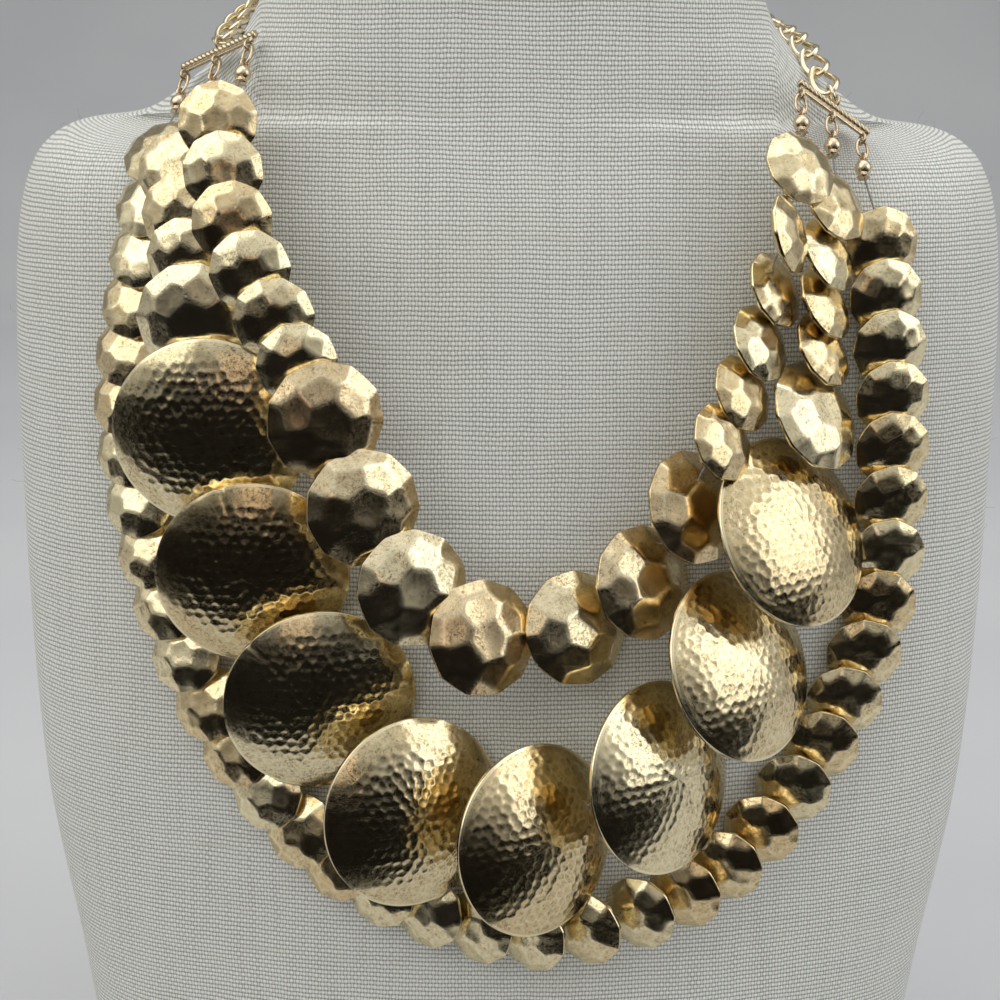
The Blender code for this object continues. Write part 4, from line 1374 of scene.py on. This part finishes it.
@dataclass
class Bar:
    """Spacer bar of one side: a rope twisted rod on a strip, its loops, links and bead tips.

    Each of the three loops below carries an oval link and a bead tip with a ring of its own,
    and the loop above carries the jump ring of the chain.
    """

    side: str
    inner_end: tuple[float, float, float]
    outer_end: tuple[float, float, float]
    facing: tuple[float, float, float]
    drop: tuple[float, float, float]
    rod: float = 0.00070
    rope_pitch: float = 0.0024
    rope_fullness: float = 1.2
    strip_width: float = 0.0019
    strip_thickness: float = 0.0007
    loop_places: tuple[float, float, float] = (0.07, 0.5, 0.93)
    loop_radius: float = 0.0011
    wire: float = 0.00035
    solder: float = 0.00015
    link_half_length: float = 0.0024
    link_half_width: float = 0.0014
    tip_radius: float = 0.0018
    tip_loop_radius: float = 0.0010
    tip_skirt: float = 0.0022
    collar: float = 0.00085
    top_loop_radius: float = 0.0013
    ring_radius: float = 0.0022
    ring_wire: float = 0.0004
    chain_seat: float = 0.00055
    clearance: float = 0.0003

    def __post_init__(self) -> None:
        """Work out the bar's own directions."""
        inner, outer = np.array(self.inner_end), np.array(self.outer_end)
        self.inner, self.outer = inner, outer
        self.along = unit(outer - inner)
        self.down = unit(np.array(self.drop))
        facing = np.array(self.facing)
        self.front = unit(facing - self.down * (self.down @ facing))
        self.hang = unit(self.down - self.along * (self.along @ self.down))
        self.across = unit(np.cross(self.down, self.front))
        self.face = np.cross(self.along, self.hang)

    def rope(self) -> Shape:
        """The rod: two wires twisted together, as a section of two bulges that turns along it.

        Returns:
            The rod.
        """
        length = np.linalg.norm(self.outer - self.inner)
        s = np.linspace(0, 1, 160)[:, None]
        b = np.linspace(0, 2 * np.pi, 20, endpoint=False)[None]
        bulge = np.abs(np.cos(b - 2 * np.pi * s * length / self.rope_pitch))
        end = np.minimum(1.0, np.minimum(s, 1 - s) * length / (0.5 * self.rod) + 0.35)
        radius = self.rope_fullness * self.rod * (0.74 + 0.36 * bulge**0.8) * end
        aside, upward = (radius * np.cos(b), self.hang), (radius * np.sin(b), self.face)
        points = swept(self.inner, (s * length, self.along), aside, upward)
        return surface(points[None], Ends.POLES, {"ridge": bulge[None] ** 4})

    def strip(self) -> Shape:
        """The flat strip below the rod: a rounded oblong section along the bar.

        Returns:
            The strip.
        """
        length = np.linalg.norm(self.outer - self.inner) - 2 * self.rod
        middle = (self.inner + self.outer) / 2 + self.hang * self.strip_width / 2
        s = np.linspace(-0.5, 0.5, 24)[:, None]
        b = np.linspace(0, 2 * np.pi, 28, endpoint=False)[None]
        wide, thick = (np.sign(w) * np.abs(w) ** 0.35 / 2 for w in (np.cos(b), np.sin(b)))
        aside = (self.strip_width * wide, self.hang)
        upward = (self.strip_thickness * thick, self.face)
        points = swept(middle, (s * length, self.along), aside, upward)
        ridge = np.broadcast_to((np.abs(np.sin(2 * b)) > 0.9) * 0.5, points.shape[:2])
        return surface(points[None], Ends.POLES, {"ridge": ridge[None]})

    def loops(self) -> np.ndarray:
        """Middles of the three loops below the bar.

        Returns:
            One row for each loop.
        """
        share = np.array(self.loop_places)[:, None]
        centres = self.inner + share * (self.outer - self.inner)
        return centres + self.hang * (self.strip_width + self.loop_radius - self.solder)

    def top(self) -> np.ndarray:
        """Middle of the loop above the bar.

        Returns:
            The point.
        """
        return (self.inner + self.outer) / 2 - self.hang * (
            self.rod + self.top_loop_radius - self.solder
        )

    def tips(self) -> tuple[np.ndarray, np.ndarray, np.ndarray]:
        """Middles of the drop links, of the tips' rings and of the tips.

        Returns:
            Three sets of middles, one row for each strand.
        """
        hang = self.loop_radius - 2 * self.wire - self.clearance
        link = self.loops() + self.down * (hang + self.link_half_length)
        grip = self.tip_loop_radius - 2 * self.wire - self.clearance
        ring = link + self.down * (self.link_half_length + grip)
        ball = ring + self.down * (self.tip_loop_radius + self.tip_radius - self.wire / 2)
        return link, ring, ball

    def tip_ends(self) -> dict[str, np.ndarray]:
        """Where the thread leaves each tip, by side and strand."""
        ends = self.tips()[2] + self.down * self.tip_skirt * 0.6
        return {f"{self.side}_{name}": end for name, end in zip(("inner", "middle", "outer"), ends)}

    def tip_shape(self, ball: np.ndarray) -> Shape:
        """A bead tip: a ball that runs out into claws, as a turned shape with waves round it.

        The radius is that of a ball down to a narrow waist, then of a collar that spreads into
        six claws, between which it stays narrow.

        Args:
            ball: middle of the ball.

        Returns:
            The tip.
        """
        fall = np.linspace(0.05, 1.0, 34)[:, None]
        b = np.linspace(0, 2 * np.pi, 48, endpoint=False)[None]
        angle = np.minimum(fall / 0.74, 1.0) * math.radians(148)
        low = np.clip((fall - 0.74) / 0.26, 0, 1)
        z = low * self.collar - self.tip_radius * np.cos(angle)
        claw = (0.5 + 0.5 * np.cos(6 * b)) ** 2
        radius = self.tip_radius * np.sin(angle)
        radius = radius * (1.0 + low**1.5 * (0.20 + 0.38 * claw))
        aside, upward = (radius * np.cos(b), self.front), (radius * np.sin(b), self.across)
        points = swept(ball, (z, self.down), aside, upward)
        ridge = np.broadcast_to(0.35 + 0.4 * low * claw, radius.shape)
        return surface(points[None], Ends.POLES, {"ridge": ridge[None]})

    def build(
        self, bar: bpy.types.Material, drops: bpy.types.Material, chain: bpy.types.Material
    ) -> None:
        """Make the bar, its links, its tips and its jump ring.

        Args:
            bar: finish of the bar.
            drops: finish of the links and tips.
            chain: finish of the jump ring.
        """
        standing = axes(self.down, self.across)[None]
        below, above, eye_radius = self.loop_radius, self.top_loop_radius, self.tip_loop_radius
        loops = links(self.loops(), np.repeat(standing, 3, 0), below, below, self.wire)
        top = links(self.top()[None], standing, above, above, self.wire)
        shape = joined([self.rope(), self.strip(), loops, top])
        add_piece(f"spacer_bar_{self.side}_rope", shape, bar, (f"spacer_bar_{self.side}",))
        flat = axes(self.down, self.front)[None]
        link, ring, ball = self.tips()
        for index, name in enumerate(("inner", "middle", "outer")):
            label = f"{self.side}_{name}"
            sizes = (self.link_half_length, self.link_half_width, self.wire)
            shape = links(link[index][None], flat, *sizes)
            add_piece(f"drop_link_{label}_wire", shape, drops, (f"drop_link_{label}",))
            eye = links(ring[index][None], standing, eye_radius, eye_radius, self.wire)
            shape = joined([self.tip_shape(ball[index]), eye])
            add_piece(f"bead_tip_{label}_claws", shape, drops, (f"bead_tip_{label}",))
        points = node_points(f"jump_ring_{self.side}")
        centre = points.mean(axis=0)
        _, _, directions = np.linalg.svd(points - centre)
        ring_axes = axes(directions[0], directions[2])[None]
        shape = links(centre[None], ring_axes, self.ring_radius, self.ring_radius, self.ring_wire)
        add_piece(f"jump_ring_{self.side}_wire", shape, chain, (f"jump_ring_{self.side}",))

    def chain_start(self) -> np.ndarray:
        """Where the chain hangs in the jump ring: the far end of its inner side.

        Returns:
            The point.
        """
        points = node_points(f"jump_ring_{self.side}")
        centre = points.mean(axis=0)
        upward = unit(centre - self.top())
        into = self.ring_radius - self.ring_wire - self.chain_seat - self.clearance
        return centre + upward * into


# Chain


@dataclass
class NeckChain:
    """Curb chain round the neck: twisted wire links, each hooked through the next, and a clasp."""

    bust: Bust
    wire: float = 0.00070
    half_length: float = 0.0042
    half_width: float = 0.0026
    twist: float = 32.0
    clearance: float = 0.0003
    slack: float = 0.0002
    turned_front: float = 3.0
    turned_within: float = 0.012
    clasp_half_length: float = 0.0052
    clasp_half_width: float = 0.0023
    clasp_height: float = 0.274
    route_right: tuple[tuple[float, float], ...] = (
        (-12, 0.2545), (2, 0.2595), (20, 0.2655), (42, 0.2705), (65, 0.2735),
    )
    route_left: tuple[tuple[float, float], ...] = (
        (6, 0.2625), (20, 0.2660), (42, 0.2705), (65, 0.2735),
    )

    def __post_init__(self) -> None:
        """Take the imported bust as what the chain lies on."""
        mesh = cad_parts["neck_bust"].data
        corners = [tuple(vert.co) for vert in mesh.vertices]
        self.tree = BVHTree.FromPolygons(corners, [tuple(face.vertices) for face in mesh.polygons])

    def off_neck(self, angle: float, z: float, mirror: int, lift: float) -> np.ndarray:
        """A point that lies off the neck.

        Args:
            angle: degrees from its side towards its back.
            z: height.
            mirror: 1 on the right of the picture, -1 on the left.
            lift: how far off.

        Returns:
            The point.
        """
        half = float(self.bust.section(np.array([z]), 1, True)[0])
        depth = self.bust.neck_back if angle > 0 else self.bust.neck_front
        power, turn = 2 / self.bust.neck_roundness, math.radians(angle)
        x = mirror * half * math.cos(turn) ** power
        y = math.copysign(depth * abs(math.sin(turn)) ** power, angle)
        nearest, normal, _, _ = self.tree.find_nearest(Vector((x, y, z)))
        return np.array(nearest + normal * lift)

    def curve(self, start: np.ndarray, route: tuple, mirror: int, end: np.ndarray) -> np.ndarray:
        """Points on the middle line of one half: a smooth curve through its route.

        Args:
            start: where it hangs in the jump ring.
            route: angles and heights on the way round the neck.
            mirror: 1 on the right of the picture, -1 on the left.
            end: where it meets the clasp.

        Returns:
            One row for each point.
        """
        lift = self.half_width * math.sin(math.radians(self.twist)) * 0.8
        lift += self.wire + self.clearance
        rows = [start] + [self.off_neck(a, z, mirror, lift) for a, z in route] + [end]
        rows = np.array(rows)
        padded = np.vstack([2 * rows[0] - rows[1], rows, 2 * rows[-1] - rows[-2]])
        s = np.linspace(0, 1, 30, endpoint=False)[None, :, None]
        a, b, c, d = (padded[k : len(rows) - 1 + k, None] for k in range(4))
        runs = 0.5 * (
            2 * b + (c - a) * s + (2 * a - 5 * b + 4 * c - d) * s**2 + (3 * b - a - 3 * c + d) * s**3
        )
        return np.vstack([runs.reshape(-1, 3), rows[-1:]])

    def half(self, start: np.ndarray, route: tuple, mirror: int, end: np.ndarray) -> Shape:
        """One half of the chain: links at even steps along its middle line.

        Args:
            start: where it hangs in the jump ring.
            route: its route round the neck.
            mirror: 1 on the right of the picture, -1 on the left.
            end: where it meets the clasp.

        Returns:
            The links as one shape.
        """
        curve = self.curve(start, route, mirror, end)
        lengths = path_lengths(curve)
        lap = 2 * (self.wire + self.slack)
        count = max(3, round((lengths[-1] - lap) / (2 * self.half_length - lap)))
        pitch = (lengths[-1] - lap) / count
        begin, finish = (
            np.stack([np.interp(at, lengths, curve[:, k]) for k in range(3)], axis=-1)
            for at in (np.arange(count) * pitch, np.arange(1, count + 1) * pitch + lap)
        )
        middle = (begin + finish) / 2
        nearest = np.array([self.tree.find_nearest(Vector(point))[0] for point in middle])
        front = np.clip(1 - middle[:, 1:2] / self.turned_within, 0, 1) * self.turned_front
        facing = unit(middle - nearest) + front * np.array([0.0, -1.0, 0.0])
        reach = (pitch + lap) / 2
        return links(middle, axes(finish - begin, facing), reach, self.half_width,
                     self.wire, self.twist, around=36, sides=12)

    def build(self, starts: dict[str, np.ndarray], material: bpy.types.Material) -> None:
        """Make both halves and the clasp.

        Args:
            starts: where each half hangs in its jump ring.
            material: finish of the chain.
        """
        lift = 0.4 * self.clasp_half_width + self.wire + 3 * self.clearance
        clasp = self.off_neck(90, self.clasp_height, 1, lift)
        frames = axes(np.array([[1.0, 0.0, 0.0]]), np.array([[0.0, 1.0, 0.0]]))
        shape = links(clasp[None], frames, self.clasp_half_length, self.clasp_half_width,
                      self.wire, self.twist, around=48)
        add_piece("clasp_wire", shape, material, ("clasp",))
        into = self.clasp_half_length - 2 * self.wire - self.clearance
        step = np.array([into, 0.0, 0.0])
        for side, mirror, route in (("right", 1, self.route_right), ("left", -1, self.route_left)):
            shape = self.half(starts[side], route, mirror, clasp + mirror * step)
            node = f"neck_chain_{side}"
            add_piece(node + "_links", shape, material, (node,))


# Studio


@dataclass
class Studio:
    """Pale floor, soft light from above on the left, and the camera at the picture's angle.

    The room is pale overhead and at the sides, and dim in front and low down, and a dark card
    that only mirrors show lies before the bust, so that the metal keeps its darks.
    """

    elevation: float = 13.0
    azimuth: float = -2.0
    roll: float = 0.7
    lens: float = 74.16
    distance: float = 0.432
    target: tuple[float, float, float] = (-0.0032, -0.047, 0.163)
    lit: tuple[float, float, float] = (0.0, -0.03, 0.15)
    floor_front: float = -5.0
    floor_half_width: float = 5.0
    curve_start: float = 1.4
    curve_radius: float = 0.8
    backdrop_height: float = 3.5
    card_sides: tuple[float, float] = (-4.0, -0.13)
    card_height: float = 0.002
    card_half_width: float = 3.0
    pale_above: tuple[float, float] = (0.04, 0.72)
    pale_beside: tuple[float, float] = (0.55, 0.95)
    dim: Colour = (0.003, 0.003, 0.004)
    pale: Colour = (0.90, 0.91, 0.91)

    def sheet(
        self, name: str, profile: np.ndarray, half: float, finish: FloorFinish
    ) -> bpy.types.Object:
        """A wide sheet: a profile in the middle plane, drawn out to both sides.

        Args:
            name: name of the sheet.
            profile: rows of depth and height.
            half: half the width.
            finish: its finish.

        Returns:
            The sheet.
        """
        count = len(profile)
        sides = [np.insert(profile, 0, x, axis=1) for x in (-half, half)]
        row = np.arange(count - 1)
        faces = np.stack([row, row + count, row + count + 1, row + 1], axis=-1)
        mesh = bpy.data.meshes.new(name)
        mesh.from_pydata(np.vstack(sides).tolist(), [], faces.tolist())
        mesh.materials.append(finish.material())
        mesh.shade_smooth()
        piece = bpy.data.objects.new(name, mesh)
        bpy.context.scene.collection.objects.link(piece)
        return piece

    def floor(self) -> None:
        """The floor, which curves up into a backdrop well behind the bust, and the dark card."""
        turn = np.linspace(0, np.pi / 2, 25)[:, None]
        depth = self.curve_start + self.curve_radius * np.sin(turn)
        curve = np.hstack([depth, self.curve_radius * (1 - np.cos(turn))])
        front = [[self.floor_front, 0.0]]
        top = [[self.curve_start + self.curve_radius, self.backdrop_height]]
        self.sheet("floor", np.vstack([front, curve, top]), self.floor_half_width, FloorFinish())
        dark = FloorFinish("dark_card", (0.012, 0.011, 0.011), (0.007, 0.007, 0.007))
        sides = np.array([[side, self.card_height] for side in self.card_sides])
        card = self.sheet("card", sides, self.card_half_width, dark)
        card.visible_camera = False
        card.visible_diffuse = False
        card.visible_shadow = False

    def lamp(
        self, name: str, place: tuple[float, float, float], aim: tuple[float, float, float],
        size: float, power: float, colour: Colour,
    ) -> None:
        """A square soft light.

        Args:
            name: name of the light.
            place: where it stands.
            aim: what it points at.
            size: side of the square.
            power: watts.
            colour: its colour.
        """
        light = bpy.data.lights.new(name, "AREA")
        light.shape = "SQUARE"
        light.size = size
        light.energy = power
        light.color = colour
        lamp = bpy.data.objects.new(name, light)
        bpy.context.scene.collection.objects.link(lamp)
        lamp.visible_camera = False
        lamp.location = place
        lamp.rotation_euler = (Vector(aim) - Vector(place)).to_track_quat("-Z", "Y").to_euler()

    def room(self) -> None:
        """The room's own light: pale overhead and at the sides, dim in front and low down."""
        world = bpy.data.worlds.new("room")
        bpy.context.scene.world = world
        world.use_nodes = True
        graph = Graph(world.node_tree)
        direction = graph.wire(graph.node("ShaderNodeTexCoord"), "Generated")
        x, _, z = graph.parts(direction)
        above = graph.step(z, *self.pale_above)
        beside = graph.step(graph.maths("ABSOLUTE", x), *self.pale_beside)
        colour = graph.mix(above * 0.85 + beside * 0.45, self.dim, self.pale)
        light = graph.node("ShaderNodeBackground", None, {"Color": colour, "Strength": 1.0})
        graph.node("ShaderNodeOutputWorld", None, {"Surface": graph.wire(light)})

    def camera(self) -> None:
        """The camera, rolled a little as the picture is."""
        e, a, r = (math.radians(v) for v in (self.elevation, self.azimuth, self.roll))
        back = Vector((math.sin(a) * math.cos(e), -math.cos(a) * math.cos(e), math.sin(e)))
        right = Vector((0, 0, 1)).cross(back).normalized()
        up = back.cross(right)
        turned_right = math.cos(r) * right + math.sin(r) * up
        turned_up = -math.sin(r) * right + math.cos(r) * up
        data = bpy.data.cameras.new("camera")
        data.lens = self.lens
        data.sensor_width = 36.0
        data.clip_start = 0.01
        camera = bpy.data.objects.new("camera", data)
        bpy.context.scene.collection.objects.link(camera)
        turn = Matrix((turned_right, turned_up, back)).transposed().to_4x4()
        camera.matrix_world = Matrix.Translation(Vector(self.target) + back * self.distance) @ turn
        bpy.context.scene.camera = camera

    def build(self) -> None:
        """Set up the whole studio."""
        self.floor()
        self.lamp("key_light", (-0.75, -0.55, 0.95), self.lit, 1.2, 5.2, (1.0, 0.98, 0.94))
        self.lamp("top_light", (0.15, 0.10, 1.25), self.lit, 1.1, 4.0, (0.97, 0.985, 1.0))
        self.lamp("side_light", (0.95, -0.35, 0.55), self.lit, 0.8, 2.4, (0.97, 0.98, 1.0))
        self.lamp("front_glow", (-0.02, -0.62, 0.33), self.lit, 0.20, 0.055, (1.0, 0.74, 0.56))
        self.room()
        self.camera()
        bpy.context.scene.view_settings.view_transform = "Standard"


def main() -> None:
    """Build the bust, the bars and the chain, the strands and the studio, in that order."""
    logging.basicConfig(level=logging.INFO, format="%(name)s: %(message)s")
    bust = Bust()
    cover = bust.build()
    bust.fibres(cover.data.materials[0])

    tarnish = (0.075, 0.065, 0.05)
    bars = Plating("bar_plating_worn", (0.62, 0.50, 0.33), (0.44, 0.32, 0.19), tarnish,
                   (0.92, 0.78, 0.54), roughness=0.22)
    drops = Plating("drop_plating_worn", (0.74, 0.60, 0.41), (0.58, 0.42, 0.26), tarnish,
                    (0.94, 0.82, 0.62), roughness=0.20)
    chain = Plating("chain_plating_worn", (0.88, 0.77, 0.54), (0.80, 0.66, 0.42), tarnish,
                    (0.96, 0.88, 0.70), roughness=0.13, speckle=0.25)
    bar_finish, drop_finish, chain_finish = (f.material() for f in (bars, drops, chain))
    right = Bar("right", (0.0590, -0.0288, 0.2492), (0.0752, -0.0256, 0.2384),
                (0.45, -0.60, 0.66), (-0.06, -0.65, -0.76))
    left = Bar("left", (-0.0546, -0.0244, 0.2578), (-0.0715, -0.0130, 0.2503),
               (-0.66, -0.40, 0.64), (-0.12, -0.66, -0.74))
    for bar in (right, left):
        bar.build(bar_finish, drop_finish, chain_finish)
    starts = {"right": right.chain_start(), "left": left.chain_start()}
    NeckChain(bust).build(starts, chain_finish)

    small = Plating("small_disc_worn", (0.91, 0.79, 0.50), (0.80, 0.62, 0.34), tarnish,
                    (1.0, 0.91, 0.66), roughness=0.07)
    medium = Plating("medium_disc_worn", (0.91, 0.79, 0.51), (0.80, 0.62, 0.36), tarnish,
                     (1.0, 0.91, 0.68), roughness=0.08, speckle=0.95)
    large = Plating("large_disc_worn", (0.88, 0.76, 0.48), (0.76, 0.60, 0.33), tarnish,
                    (0.98, 0.88, 0.62), roughness=0.055, speckle=1.0, grain=0.000008, cloud=260.0)
    strands = Strands(bust, small, medium, large, ThreadFinish())
    strands.build({**right.tip_ends(), **left.tip_ends()})

    Studio().build()


if __name__ == "__main__":
    main()
